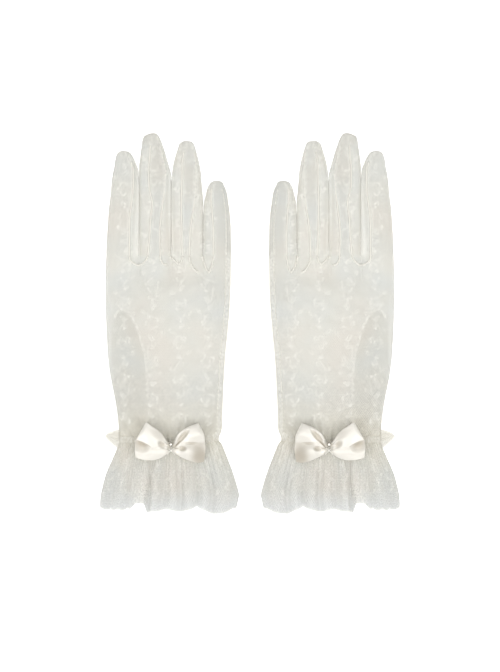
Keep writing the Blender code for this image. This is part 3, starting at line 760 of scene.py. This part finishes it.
THUMB_BASE, THUMB_TIP = THUMB_OUTER[0][0], THUMB_OUTER[-1][0]
THUMB_FULLNESS = [
    (-68.5, 0.0), (-66, 0.5), (-60, 0.9), (-50, 1.0), (-8, 1.0), (3, 0.8), (7, 0.45), (8.6, 0.0),
]
THUMB_TALL, THUMB_FLOOR, THUMB_EDGE = 2.75, 0.2, 0.9
THUMB_ROWS, THUMB_COLUMNS = 120, 92
THUMB_HOLE, HOLE_RADII, HOLE_Z = (74.1, -56.0), (7.6, 9.0), 3.35
ends = np.linspace(-np.pi / 2, np.pi / 2, THUMB_ROWS)
spaced = (0.45 * np.sin(ends) + 0.55 * ends / (np.pi / 2))[:, None]  # closer together at both ends
y = (THUMB_BASE + THUMB_TIP) / 2 + (THUMB_TIP - THUMB_BASE) / 2 * spaced
_, under, share = round_tube(THUMB_COLUMNS)
a = 2.0 * share - 1.0
a = np.sin(np.pi / 2 * (0.55 * a + 0.45 * np.sin(np.pi * a / 2)))[None]
outer, inner = through(y, THUMB_OUTER), through(y, THUMB_INNER)
u = (outer + inner) / 2 + (outer - inner) / 2 * a
full = through(y, THUMB_FULLNESS)
edge = THUMB_FLOOR + THUMB_EDGE * full
wrinkled = THUMB_TALL - THUMB_EDGE + 0.12 * wander(u, y, 15.0, 0.9)
back = edge + full * crown(a) * wrinkled
front = THUMB_FLOOR + (edge - THUMB_FLOOR) * np.abs(a) ** 8
thumb_points = np.stack([u, y + 0.0 * u, np.where(under[None], front, back)], axis=-1)
thumb_cut = cut_of(thumb_points, under, THUMB_UNFOLDED)
thumb_worked = sprigs(thumb_cut[..., 0], thumb_cut[..., 1])
thumb_worked = np.maximum(thumb_worked, 0.75 * line(1.0 - np.abs(a), 0.26))
# The cloth's two long edges meet at the seam down the inner side.
met = thumb_points[:, :1] - (0.0, 0.0, 0.06) * full[..., None]
thumb_points = np.concatenate([thumb_points, met], axis=1)
thumb_cut, thumb_worked = (np.concatenate([grid, grid[:, :1]], axis=1) for grid in (thumb_cut, thumb_worked))
rows = np.flatnonzero((y[:, 0] > -64.0) & (y[:, 0] < 8.2))
thumb_inner_edge = thumb_points[rows, 0] + (0.35, 0.0, 0.45)
tip_rows = np.flatnonzero((y[:, 0] > -6.0) & (y[:, 0] < 8.5))[::-1]
thumb_outer_edge = thumb_points[tip_rows, THUMB_COLUMNS // 2] + (-0.35, 0.0, 0.45)
ring_turn = np.linspace(0.0, 2.0 * np.pi, 60)
hole_seam = np.stack([
    THUMB_HOLE[0] + HOLE_RADII[0] * np.cos(ring_turn),
    THUMB_HOLE[1] + HOLE_RADII[1] * np.sin(ring_turn),
    0.0 * ring_turn + HOLE_Z,
], axis=1)
# The thumb's net is drawn less close than flat cloth, and its tone is painted lighter, as painted light.
for glove, side in GLOVES:
    thumb = cloth(
        f"{glove}_thumb", side, thumb_points, thumb_cut, thumb_worked, ring=False, poles=True, bunched_and_shade=-1.15
    )
    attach(thumb, f"{glove}_thumb")
    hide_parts(f"{glove}_thumb_stall")
    edges = np.concatenate([thumb_inner_edge, thumb_outer_edge])
    seam = cords(f"{glove}_thumb_seam", side, [edges], 0.5, swell=0.14)
    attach(seam, f"{glove}_thumb")
    hole = cords(f"{glove}_thumb_hole_seam", side, [hole_seam], 0.28, swell=0.1)
    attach(hole, f"{glove}_hand")


# ---- Wrist ----
# A covered elastic draws the wrist in. The lace puckers over it in a narrow shirred band, which hides
# the join between the hand and the frill.

BAND_TOP, BAND_BOTTOM = -70.8, -74.9
PUCKERS = 46
# The elastic's braided cover looks matt and finely ribbed.
elastic, tree, shader = finish(
    "covered elastic", Base_Color=linear("#EFEBDD"), Roughness=0.68, Sheen_Weight=0.3
)
place = add(tree, "ShaderNodeTexCoord").outputs["Object"]
ribs = add(tree, "ShaderNodeTexNoise", {"Vector": place, "Scale": 900.0, "Detail": 3.0}).outputs["Fac"]
bump = add(tree, "ShaderNodeBump", {"Height": ribs, "Strength": 0.5, "Distance": 0.0003})
tree.links.new(bump.outputs["Normal"], shader.inputs["Normal"])

turn, under, share = (row[None] for row in round_tube(560))
a = 2.0 * share - 1.0
down = np.linspace(0.0, 1.0, 14)[:, None]
y = BAND_TOP + (BAND_BOTTOM - BAND_TOP) * down + 0.0 * a
around = hand_place(a * 0.998, np.full_like(y, WRIST_Y), under)
pucker = np.sin(2.0 * np.pi * PUCKERS * turn + 2.5 * np.sin(9.0 * turn))
pucker = pucker * (0.5 + 0.5 * np.cos(7.0 * turn + 1.0))
bulge = 0.32 * np.sin(np.pi * down) ** 0.7 * np.abs(np.sin(2.0 * np.pi * down)) ** 0.5
out = (bulge + 0.26 * pucker * (0.35 + np.abs(down - 0.5))) * np.where(under, -1.0, 1.0)
band_points = around.copy()
band_points[..., 1] = y + 0.22 * np.sin(2.0 * np.pi * PUCKERS * turn + 1.2) * (2.0 * down - 1.0)
band_points[..., 2] = around[..., 2] + out
band_points[..., 0] += 0.3 * np.sign(a) * np.abs(a) ** 30
band_cut = np.stack([turn * 140.0 + 0.0 * y, y], axis=-1)
band_worked = 0.3 + 0.3 * np.abs(pucker) + 0.0 * y
_, under, share = round_tube(220, closed=True)
elastic_path = hand_place((2.0 * share - 1.0) * 0.985, np.full(220, WRIST_Y), under)
elastic_path[:, 2] += np.where(under, 0.55, -0.55)
elastic_path[:, 1] = (BAND_TOP + BAND_BOTTOM) / 2
for glove, side in GLOVES:
    band = cloth(
        f"{glove}_shirred_band", side, band_points, band_cut, band_worked, turned=-1, bunched_and_shade=1.0,
    )
    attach(band, f"{glove}_hand")
    loop = cords(f"{glove}_elastic", side, [elastic_path], 0.5, finish=elastic, upright=(0.0, 1.0, 0.0))
    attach(loop, f"{glove}_hand")
    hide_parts(f"{glove}_wrist_elastic")


# ---- Tuft ----
# At the thumb's side the ends of the gathered lace stand out past the elastic, in a small pointed fan
# of two layers.

# Its upper and its lower edge, from the glove out to the tip.
TUFT_EDGES = (
    [(81.0, -66.6), (84.4, -67.2), (87.8, -68.4), (90.8, -70.3)],
    [(81.0, -79.8), (84.4, -77.6), (87.9, -74.3), (90.9, -71.3)],
)
fan = np.linspace(0.0, 1.0, 44)[None]
out = np.linspace(0.0, 1.0, 30)
upper_edge, lower_edge = (
    np.stack([through(out * 3.0, list(enumerate(values))) for values in zip(*edge)], axis=1)
    for edge in TUFT_EDGES
)
out = out[:, None]
tuft_layers = []
for lift, shrink, start in ((5.2, 0.0, 0.3), (4.0, 0.12, 1.7)):
    down = (shrink + (1.0 - 1.6 * shrink) * fan)[..., None]
    place = upper_edge[:, None] + (lower_edge - upper_edge)[:, None] * down
    u, y = place[..., 0] - 5.0 * shrink * out, place[..., 1]
    pleats = np.sin(2.0 * np.pi * 3.4 * fan + start + 1.2 * np.sin(3.0 * out))
    pleats = pleats * (0.3 + 0.5 * out) * (1.1 - out ** 4)
    z = lift + 0.2 * pleats + 0.3 * wander(u, y, 5.0, start)
    tuft_layers.append(np.stack([u, y, z], axis=-1))
rims = 0.3 * line(1.0 - out + 0.0 * fan, 0.16) + 0.3 * line(0.5 - np.abs(fan - 0.5), 0.1)
tuft_worked = 0.1 + rims + 0.12 * np.sin(21.0 * fan)
for glove, side in GLOVES:
    layers = []
    for number, points in enumerate(tuft_layers):
        cut = points[..., :2] * 1.3 + 15.0 * number
        layers.append(cloth(f"{glove}_tuft_{number + 1}", side, points, cut, tuft_worked, ring=False))
        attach(layers[-1], f"{glove}_hand")
    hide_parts(f"{glove}_wrist_tuft")


# ---- Frill ----
# A gathered tube of the same lace, wider than the wrist, with a scalloped hem. It falls in soft folds,
# and one deep pleat on the back laps over the cloth beside it.

FRILL_OUTER = [
    (-120, 93.9), (-111.5, 93.9), (-106.4, 93.3), (-101.4, 92.1), (-96.4, 90.8), (-91.4, 88.9),
    (-86.4, 86.6), (-81.3, 84.4), (-78, 83.0), (-74, 81.6),
]
FRILL_INNER = [
    (-120, 9.0), (-112, 7.6), (-107.5, 6.9), (-106.4, 7.1), (-101.4, 8.4), (-96.4, 9.9), (-91.4, 11.6),
    (-86.4, 13.5), (-81.3, 15.5), (-78, 16.8), (-75.4, 18.0), (-73.6, 19.6),
]
FRILL_TOP = -73.6
# Across the back, where the cloth lies at the hem, from 1 at the outer edge to -1 at the inner one, by
# the share of the cloth. Past the flat part it dips under the pleat's edge and comes back over itself.
PLEATED = [
    (0, 1.0), (0.24, 0.5), (0.30, 0.37), (0.335, 0.28), (0.36, 0.262), (0.385, 0.283), (0.405, 0.314),
    (0.425, 0.304), (0.5, 0.21), (0.584, 0.016), (0.762, -0.42), (0.981, -0.954), (1, -1.0),
]
GATHERED = [  # and where it lies at the elastic
    (0, 1.0), (0.24, 0.53), (0.30, 0.43), (0.36, 0.36), (0.425, 0.29), (0.5, 0.19), (0.584, 0.02),
    (0.762, -0.42), (0.981, -0.95), (1, -1.0),
]
BACK_HEM = [  # the hem's y along the cloth, and how deep a scallop hangs from there to the next place
    (0.0, -115.6, 1.2), (0.076, -116.4, 1.1), (0.126, -116.6, 1.3), (0.186, -116.0, 0.7),
    (0.226, -116.0, 0.3), (0.242, -113.2, 0.2), (0.30, -113.0, 0.5), (0.36, -115.0, 0.3),
    (0.40, -118.5, 0.9), (0.584, -116.5, 2.7), (0.762, -114.6, 4.2), (0.981, -116.4, 0.6),
    (1.0, -115.6, 0.4),
]
FRILL_COLUMNS, FRILL_ROWS = 520, 84
TOP_FLOOR, HEM_FLOOR, TOP_TALL, HEM_TALL = 3.3, 0.35, 7.0, 6.2
turn, under, s = round_tube(FRILL_COLUMNS)  # s is 0 at the outer edge, and 1 at the inner one
t = np.linspace(0.0, 1.0, FRILL_ROWS)[:, None] ** 0.92


def hem_of(s):
    """The hem's y along the back: from cusp to cusp it drops by its scallop's depth times a sine."""
    at, cusp, depth = np.array(BACK_HEM).T
    low = np.clip(np.searchsorted(at, s, side="right") - 1, 0, len(at) - 2)
    way = (s - at[low]) / (at[low + 1] - at[low])
    return cusp[low] + (cusp[low + 1] - cusp[low]) * way - depth[low] * np.sin(np.pi * way) ** 0.9


back_hem = hem_of(np.clip(s, 0.0, 0.9999))
# The front's hem follows the back's where the two lie over each other, past the cloth that the pleat hides.
seen = [(across, share) for share, across in PLEATED if not 0.3 < share < 0.405][::-1]
front_hem = hem_of(np.interp(through(s, GATHERED), *zip(*seen))) + 0.6
hem = np.where(under, front_hem, back_hem)[None]
y = FRILL_TOP + (hem - FRILL_TOP) * t
s, under = s[None], under[None]
# fall is how free the frill hangs of the elastic, and pleat how far the deep pleat has opened.
fall = ease((FRILL_TOP - 3.0 - y) / 30.0)
pleat = ease((FRILL_TOP - 12.0 - y) / 22.0)
plain = through(s, GATHERED) + 0.0 * y
pleated = np.where(under, plain, through(s, PLEATED))
a = plain + (pleated - plain) * pleat
outer, inner = through(y, FRILL_OUTER), through(y, FRILL_INNER)
# Eight soft folds cross each layer, with some forty fine gathers over them. lap lifts the pleat's edge
# over the cloth that it covers.
phase = 2.0 * np.pi * (8.0 * s + 0.4 * np.sin(7.0 * s + 1.0) + np.where(under, 0.37, 0.0))
phase = phase + 0.6 * wander(40.0 * s + 0.0 * y, y, 38.0, 0.6)
inside = np.clip(1.0 - np.abs(plain) ** 10, 0.0, 1.0)
u = (outer + inner) / 2 + (outer - inner) / 2 * np.clip(a, -1, 1) + 0.7 * fall * np.sin(phase) * inside
crossing = np.clip((u - (outer + inner) / 2) / ((outer - inner) / 2), -1.0, 1.0)
floor = TOP_FLOOR + (HEM_FLOOR - TOP_FLOOR) * ease((FRILL_TOP - y) / 32.0)
tall = TOP_TALL + (HEM_TALL - TOP_TALL) * fall
folds = (0.3 + 0.75 * fall) * np.cos(phase) * inside
tight = 2.0 * np.pi * (s * 41.0 + 1.1 * np.sin(5.0 * s)) + 0.9 * wander(30.0 * s, y, 21.0, 1.2)
fine = 0.22 * np.sin(tight) + 0.14 * np.sin(1.7 * tight + 1.0)
fine = fine * (1.0 - 0.62 * fall) * inside
lap = 1.1 * ease((s - 0.37) / 0.04) * (1.0 - ease((s - 0.5) / 0.3)) - 0.5 * line(s - 0.33, 0.1)
lap = np.where(under, 0.0, pleat * lap)
edge = floor + 0.3 * tall
back = edge + 0.68 * tall * crown(crossing) + folds + fine + lap
front = floor + (edge - floor) * np.abs(crossing) ** 8
front = front + (0.9 + 0.5 * fall) * (0.5 + 0.5 * np.cos(phase)) * inside
frill_points = np.stack([u, y, np.where(under, front, back)], axis=-1)
frill_cut = np.stack([turn[None] * 150.0 + 0.0 * y, y - 7.0], axis=-1)
# The lace is worked in a border at the hem, in sprigs above it, and in streaks where the gathers
# crowd it. The pleat's doubled cloth looks solid too.
to_hem = y - hem
frill_worked = sprigs(frill_cut[..., 0] * 1.3, frill_cut[..., 1]) * ease((to_hem - 6.0) / 5.0) * 0.5
frill_worked = np.maximum(frill_worked, 0.42 * line(to_hem - 0.4, 1.3))
streaks = np.clip(np.sin(tight + 0.8), 0.0, 1.0) * (0.5 + 0.5 * wander(90.0 * s, y, 40.0, 2.3))
frill_worked = np.maximum(frill_worked, 0.3 * streaks * (1.0 - 0.45 * fall) * ease((to_hem - 3.0) / 10.0))
doubled = np.where(under, 0.0, ease((s - 0.22) / 0.04) * ease((0.39 - s) / 0.02))
frill_worked = np.maximum(frill_worked, 0.4 * pleat * doubled)
frill_points = raised(frill_points, frill_worked, under)
frill_points[..., 2] = np.maximum(frill_points[..., 2], 0.08)  # never into the table
# The frill's net is drawn up closer, with its tone painted darker as painted shade, except where the deep
# pleat lies open, which is less close and painted lighter.
opened = np.where(under, 0.0, ease((s - 0.22) / 0.05) * ease((0.36 - s) / 0.03))
frill_drawn_and_shade = 1.0 - 1.3 * pleat * opened
for glove, side in GLOVES:
    frill = cloth(f"{glove}_frill", side, frill_points, frill_cut, frill_worked, bunched_and_shade=frill_drawn_and_shade)
    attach(frill, f"{glove}_hand")
    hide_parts(f"{glove}_cuff_frill")


# ---- Bow ----
# Polyester satin ribbon, 24 mm wide, in two loops. Each is turned back on itself, pinched in small
# creases under the knot, and dented where a finger would press it. Painted shade darkens its hollows and
# the panels turned from the light.

BOW_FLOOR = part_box("right_bow_knot")[0].z * 1000
PANEL_ROWS, PANEL_COLUMNS = 70, 62
RIBBON_WIDTH, LOOP_LENGTH = 24.0, 22.0
# Each loop's panel as a net of points. A row is a line across the ribbon, from its edge nearer the
# fingers to the one nearer the hem. The first row is at the knot, and the last at the turn.
OUTER_LOOP = np.stack([
    [  # out from the knot
        [0.8, 1.0, 1.1, 1.1, 1.1, 1.0, 0.8], [2.6, 3.1, 3.4, 3.4, 3.3, 3.0, 2.6],
        [5.2, 5.9, 6.3, 6.4, 6.4, 6.2, 5.8], [8.2, 9.2, 9.7, 9.8, 9.8, 9.8, 9.6],
        [11.7, 12.9, 13.6, 13.9, 14.0, 13.9, 13.5], [14.2, 15.7, 17.0, 17.8, 18.1, 17.9, 17.2],
        [15.0, 17.2, 19.2, 20.4, 20.7, 20.6, 20.1], [15.3, 17.6, 20.0, 21.7, 22.4, 22.4, 22.0],
    ],
    [  # up towards the fingers
        [2.2, 1.5, 0.8, 0.0, -0.8, -1.6, -2.4], [4.2, 3.0, 1.6, 0.2, -1.2, -2.8, -4.3],
        [8.0, 5.9, 3.7, 1.8, -0.6, -3.4, -6.5], [10.9, 8.1, 5.4, 2.6, -0.4, -3.8, -7.8],
        [13.3, 9.9, 6.6, 3.4, 0.0, -3.8, -8.1], [15.1, 11.4, 7.8, 4.6, 0.8, -3.2, -7.8],
        [15.7, 11.7, 8.2, 5.1, 1.2, -2.4, -7.1], [16.0, 12.0, 8.0, 4.6, 1.2, -2.4, -6.5],
    ],
    [  # height
        [3.4, 4.0, 3.0, 3.8, 3.0, 3.6, 2.8], [4.2, 4.8, 4.6, 4.2, 4.6, 4.6, 3.2],
        [5.0, 5.8, 5.8, 5.6, 5.4, 5.6, 3.6], [5.8, 7.0, 7.2, 7.0, 6.4, 6.0, 3.8],
        [6.4, 7.6, 7.9, 7.4, 6.4, 5.4, 3.8], [6.2, 7.6, 7.8, 6.8, 5.6, 5.0, 4.0],
        [5.6, 6.8, 7.0, 6.4, 5.8, 5.2, 4.0], [4.8, 5.4, 5.8, 6.2, 6.2, 5.6, 3.8],
    ],
], axis=-1)
INNER_LOOP = np.stack([
    [  # out from the knot
        [0.8, 1.0, 1.1, 1.1, 1.1, 1.0, 0.8], [2.6, 3.6, 4.0, 4.1, 4.2, 4.0, 3.2],
        [4.4, 5.8, 6.6, 7.1, 7.5, 7.2, 6.4], [6.6, 8.0, 9.4, 10.0, 10.3, 10.2, 9.4],
        [10.0, 11.4, 12.9, 13.4, 13.7, 13.6, 12.8], [13.8, 15.2, 16.8, 17.3, 17.6, 17.4, 16.6],
        [16.0, 17.8, 19.4, 19.9, 20.3, 20.0, 19.2], [16.8, 18.9, 20.6, 21.0, 21.4, 20.9, 20.2],
    ],
    [  # up towards the fingers
        [2.2, 1.5, 0.8, 0.0, -0.8, -1.6, -2.4], [5.2, 3.8, 2.5, 1.0, -0.6, -2.2, -4.4],
        [8.1, 6.6, 4.8, 1.9, -0.7, -3.2, -6.2], [10.1, 8.6, 6.0, 2.4, -0.7, -4.0, -7.6],
        [12.6, 10.4, 7.0, 3.2, -0.7, -4.4, -8.8], [14.1, 11.6, 7.8, 3.4, -0.9, -4.9, -9.7],
        [14.9, 11.6, 7.8, 3.4, -0.9, -5.2, -9.3], [15.2, 11.4, 7.6, 3.4, -0.9, -5.4, -9.0],
    ],
    [  # height
        [3.4, 4.0, 2.8, 3.8, 2.8, 3.6, 2.6], [4.8, 5.2, 4.8, 4.8, 4.4, 4.4, 3.4],
        [6.0, 6.0, 5.6, 5.8, 5.8, 5.6, 3.4], [6.6, 6.4, 6.6, 6.2, 7.0, 6.4, 3.6],
        [6.4, 7.4, 8.0, 6.2, 6.2, 5.4, 3.4], [6.0, 7.6, 8.2, 5.2, 3.8, 3.2, 2.3],
        [5.4, 6.8, 7.4, 3.8, 2.2, 1.9, 1.8], [4.6, 5.2, 5.4, 2.8, 1.8, 1.6, 1.6],
    ],
], axis=-1)
# Dents and creases in each loop, with painted shade where they lie away from the light and where the
# dull back shows: the middle, the radii along, above and below it, and the turn, then the depth and how
# much darker and duller the ribbon is painted.
OUTER_DENTS_AND_SHADES = [
    (17.6, 2.2, 4.7, 1.0, 4.8, 0.42, 1.5, 0.7), (18.6, 2.4, 3.4, 0.8, 1.6, 0.42, 0.3, 0.3),
    (5.6, 2.0, 2.4, 1.5, 1.9, 0.8, 0.8, 0.7), (7.8, 7.6, 5.6, 2.2, 2.2, 0.68, 0.15, 0.32),
    (11.0, -0.9, 3.0, 0.7, 0.9, -0.4, 0.3, 0.1),
]
INNER_DENTS_AND_SHADES = [
    (7.4, 6.6, 4.9, 1.5, 1.2, 0.86, 2.2, 0.66), (3.6, 1.7, 3.2, 0.5, 0.5, 0.8, 1.2, 0.8),
    (7.3, -0.7, 2.1, 1.5, 1.4, 0.1, 1.3, 0.8), (3.4, -0.6, 1.6, 0.4, 0.4, 0.2, 0.6, 0.5),
    (12.6, 3.1, 3.6, 0.4, 1.1, 0.02, 0.6, 0.5), (15.4, 2.4, 6.4, 0.7, 4.0, 0.02, 0.5, 0.42),
    (18.4, -6.6, 6.2, 7.2, 5.6, -0.3, 0.0, 0.95),
]

# Satin's long floats lie side by side and give it a broad, soft gloss. Its back is duller and browner,
# and the same brown-grey is painted on as shade in the loops' hollows and creases.
satin, tree, shader = finish(
    "ivory polyester satin", Roughness=0.34, Metallic=0.08, Sheen_Weight=0.15, Sheen_Roughness=0.35,
    Specular_IOR_Level=0.6,
)
cut = add(tree, "ShaderNodeAttribute", attribute_name="cut").outputs["Vector"]
# The worked attribute is 1 on the glossy front, and less where the dull back shows and where shade is
# painted.
face = add(tree, "ShaderNodeAttribute", attribute_name="worked").outputs["Fac"]
drawn = add(tree, "ShaderNodeMapping", {"Vector": cut, "Scale": (0.16, 1.2, 1.0)}).outputs[0]
floats = add(tree, "ShaderNodeTexNoise", {"Vector": drawn, "Scale": 1.0, "Detail": 3.0, "Roughness": 0.6})
floats = floats.outputs["Fac"]
weft = {"Factor": floats, 6: linear("#EFEBE2"), 7: linear("#F7F4ED")}
weft = add(tree, "ShaderNodeMix", weft, data_type="RGBA").outputs[2]
shade = add(tree, "ShaderNodeMix", {"Factor": face, 6: linear("#BBB3A5"), 7: weft}, data_type="RGBA")
tree.links.new(shade.outputs[2], shader.inputs["Base Color"])
bump = add(tree, "ShaderNodeBump", {"Height": floats, "Strength": 0.35, "Distance": 0.0005})
tree.links.new(bump.outputs["Normal"], shader.inputs["Normal"])
gloss = add(tree, "ShaderNodeMapRange", {"Value": face, "To Min": 0.6, "To Max": 0.36})
tree.links.new(gloss.outputs["Result"], shader.inputs["Roughness"])


def smooth_net(net, rows, columns):
    """A fine grid over a net of points (rows, columns, 3): curves through it one way, then the other."""
    down, across = np.linspace(0, len(net) - 1, rows), np.linspace(0, len(net[0]) - 1, columns)
    steps = np.arange(len(net))
    lines = np.stack([
        np.stack([through(down, np.stack([steps, net[:, j, k]], 1)) for j in range(net.shape[1])], 1)
        for k in range(3)
    ], -1)
    steps = np.arange(net.shape[1])
    weights = [through(across, np.stack([steps, np.eye(len(steps))[j]], 1)) for j in steps]
    return np.einsum("rjk,jc->rck", lines, np.array(weights))


def loop_of(net, dents_and_shades, way):
    """A loop of ribbon: its upper panel, the turn at its end, and the lower panel back to the knot."""
    upper = smooth_net(net, PANEL_ROWS, PANEL_COLUMNS)
    face = np.ones(upper.shape[:2])
    for middle_out, middle_up, long, above, below, turn, depth, share in dents_and_shades:
        x, y = upper[..., 0] - middle_out, upper[..., 1] - middle_up
        along, across = x * np.cos(turn) + y * np.sin(turn), y * np.cos(turn) - x * np.sin(turn)
        near = (along / long) ** 2 + (across / np.where(across > 0.0, above, below)) ** 2
        upper[..., 2] -= depth * np.exp(-near ** 1.6)
        upper[..., 2] += 0.2 * depth * np.exp(-((near - 1.7) ** 2) * 2.0)
        # Each patch also paints the ribbon darker and duller by its share, as painted shade.
        face -= share * np.exp(-near ** 1.6)
    upper[..., 2] = np.maximum(upper[..., 2], 1.2)  # never into the lower panel
    face = np.clip(face, 0.0, 1.0)
    out = np.clip(upper[..., 0:1] / LOOP_LENGTH, 0.0, 1.0)
    pinch = np.exp(-upper[..., 0] / 4.0)
    spread = np.linspace(0.0, 1.0, PANEL_COLUMNS)[None]
    upper[..., 2] += 0.34 * pinch * np.sin(2.0 * np.pi * 4.5 * spread)
    lower = upper[::-1].copy()
    lower[..., :2] -= 0.5 * np.array((0.9, 0.25)) * out[::-1]
    lower[..., 2] = 0.35 + 1.5 * (1.0 - out[::-1, :, 0]) ** 2
    lower[..., 2] += 0.25 * wander(lower[..., 0], lower[..., 1], 11.0, 0.8)
    turned = (upper[-1] + lower[0]) / 2
    turned[:, 0] += 0.35
    loop = np.concatenate([upper, turned[None], lower])
    gone = travelled(loop[:, PANEL_COLUMNS // 2])[:, None]
    cut = np.stack([gone + 0.0 * spread, RIBBON_WIDTH * spread + 0.0 * gone], axis=-1)
    # The turn and the lower panel are painted halfway to the brown-grey: their dull back, and painted shade
    # under the upper panel.
    face = np.concatenate([face, np.full((PANEL_ROWS + 1, PANEL_COLUMNS), 0.5)])
    placed = np.stack([KNOT[0] + way * loop[..., 0], KNOT[1] + loop[..., 1], BOW_FLOOR + loop[..., 2]], -1)
    return placed, cut, face


for loop_name, net, dents_and_shades, way in (
    ("outer", OUTER_LOOP, OUTER_DENTS_AND_SHADES, 1), ("inner", INNER_LOOP, INNER_DENTS_AND_SHADES, -1),
):
    loop_points, loop_cut, face = loop_of(net, dents_and_shades, way)
    for glove, side in GLOVES:
        ribbon = cloth(
            f"{glove}_bow_{loop_name}_loop", side, loop_points, loop_cut, face, turned=way, ring=False,
            finish=satin,
        )
        thick = ribbon.modifiers.new("ribbon", "SOLIDIFY")
        thick.thickness, thick.offset = 0.0003, -1.0
        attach(ribbon, f"{glove}_bow")
        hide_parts(f"{glove}_bow_loop_{loop_name}")


# ---- Knot and thread ----
# The ribbon is drawn together by turns of thread, which cross in front below the pearl and hold the
# bow to the wrist.

KNOT_HEIGHT = BOW_FLOOR + 2.2
angle = np.linspace(0.0, 2.0 * np.pi, 48, endpoint=False)[None]
along = np.linspace(-1.0, 1.0, 22)[:, None]
waist = 1.35 + 0.7 * np.abs(along) ** 1.6
pleats = 1.0 + 0.1 * np.sin(7.0 * angle) * (0.5 + 0.5 * np.abs(along))
close = np.sqrt(np.clip(1.0 - np.abs(along) ** 8, 0.0, 1.0))
knot_points = np.stack([
    KNOT[0] + 1.9 * along + 0.0 * angle,
    KNOT[1] - 0.2 + 1.15 * waist * pleats * close * np.cos(angle),
    KNOT_HEIGHT + waist * pleats * close * np.sin(angle),
], -1)
knot_cut = np.stack([3.0 * along + 0.0 * angle, 4.0 * angle + 0.0 * along], -1)
wrap_turn = np.linspace(0.0, 2.0 * np.pi, 40)
wraps = [
    np.stack([
        KNOT[0] + shift + lean * np.cos(wrap_turn),
        KNOT[1] - 0.2 + 1.95 * np.cos(wrap_turn),
        KNOT_HEIGHT + 1.75 * np.sin(wrap_turn),
    ], 1)
    for shift, lean in ((-0.25, 0.5), (0.25, -0.5), (0.0, 0.15), (0.45, 0.1), (-0.45, -0.1))
]
cross_turn = np.linspace(-1.0, 1.0, 18)
crosses = [
    np.stack([
        KNOT[0] + way * 2.5 * cross_turn,
        KNOT[1] - 1.9 + 2.2 * cross_turn - 0.4 * cross_turn ** 2,
        KNOT_HEIGHT + 4.3 - 2.3 * np.abs(cross_turn) ** 1.7,
    ], 1)
    for way in (1, -1)
]
for glove, side in GLOVES:
    knot = cloth(f"{glove}_bow_pinch", side, knot_points, knot_cut, 0.8, poles=True, finish=satin)
    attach(knot, f"{glove}_bow")
    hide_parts(f"{glove}_bow_knot")
    wrap = cords(f"{glove}_bow_thread", side, wraps + crosses, 0.25, upright=(1.0, 0.0, 0.0))
    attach(wrap, f"{glove}_bow")


# ---- Pearl and bead ----
# An oval glass pearl with a nacre coat lies over the knot, with a clear glass bead below it where the
# threads cross. Each has a drilled hole, with thread going in.

BEADS_UP = 0.5  # how far the beads ride towards the fingers
# Nacre mirrors the room darkly, with a bright spot under its clear coat. Clear glass sparkles.
pearl, _, _ = finish(
    "nacre-coated glass pearl", Base_Color=linear("#CBC6BC"), Metallic=0.82, Roughness=0.16,
    Coat_Weight=1.0, Coat_Roughness=0.03,
)
glass, _, _ = finish(
    "clear glass bead", Base_Color=linear("#F1EFEA"), Roughness=0.06, IOR=1.5, Transmission_Weight=0.35,
    Coat_Weight=0.6,
)
around = np.linspace(0.0, 2.0 * np.pi, 40, endpoint=False)[None]
height = np.linspace(-np.pi / 2, np.pi / 2, 28)[:, None]
for node, piece_name, bead_finish, slot_name, facets in (
    ("bow_pearl", "bow_oval_pearl", pearl, "pearl", 0.0),
    ("bow_seed_bead", "bow_glass_bead", glass, "clear_bead", 0.05),
):
    low, high = (np.array(corner) * 1000 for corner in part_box(f"left_{node}"))
    middle, radii = (low + high) / 2 + (0.0, BEADS_UP, 0.0), (high - low) / 2
    hole = 1.0 - 0.22 * np.exp(-((np.pi / 2 - np.abs(height)) / 0.16) ** 2)
    bead_points = np.stack([
        middle[0] + radii[0] * np.cos(height) * np.cos(around),
        middle[1] + radii[1] * np.sin(height) * hole + 0.0 * around,
        middle[2] + radii[2] * np.cos(height) * np.sin(around),
    ], -1)
    bead_points = middle + (bead_points - middle) * (1.0 - facets * np.abs(np.sin(4.0 * around)))[..., None]
    for glove, side in GLOVES:
        bead = cloth(
            f"{glove}_{piece_name}", side, bead_points, bead_points[..., :2], 1.0, turned=-1, poles=True,
            finish=bead_finish,
        )
        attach(bead, f"{glove}_bow")
        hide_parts(f"{glove}_{node}")
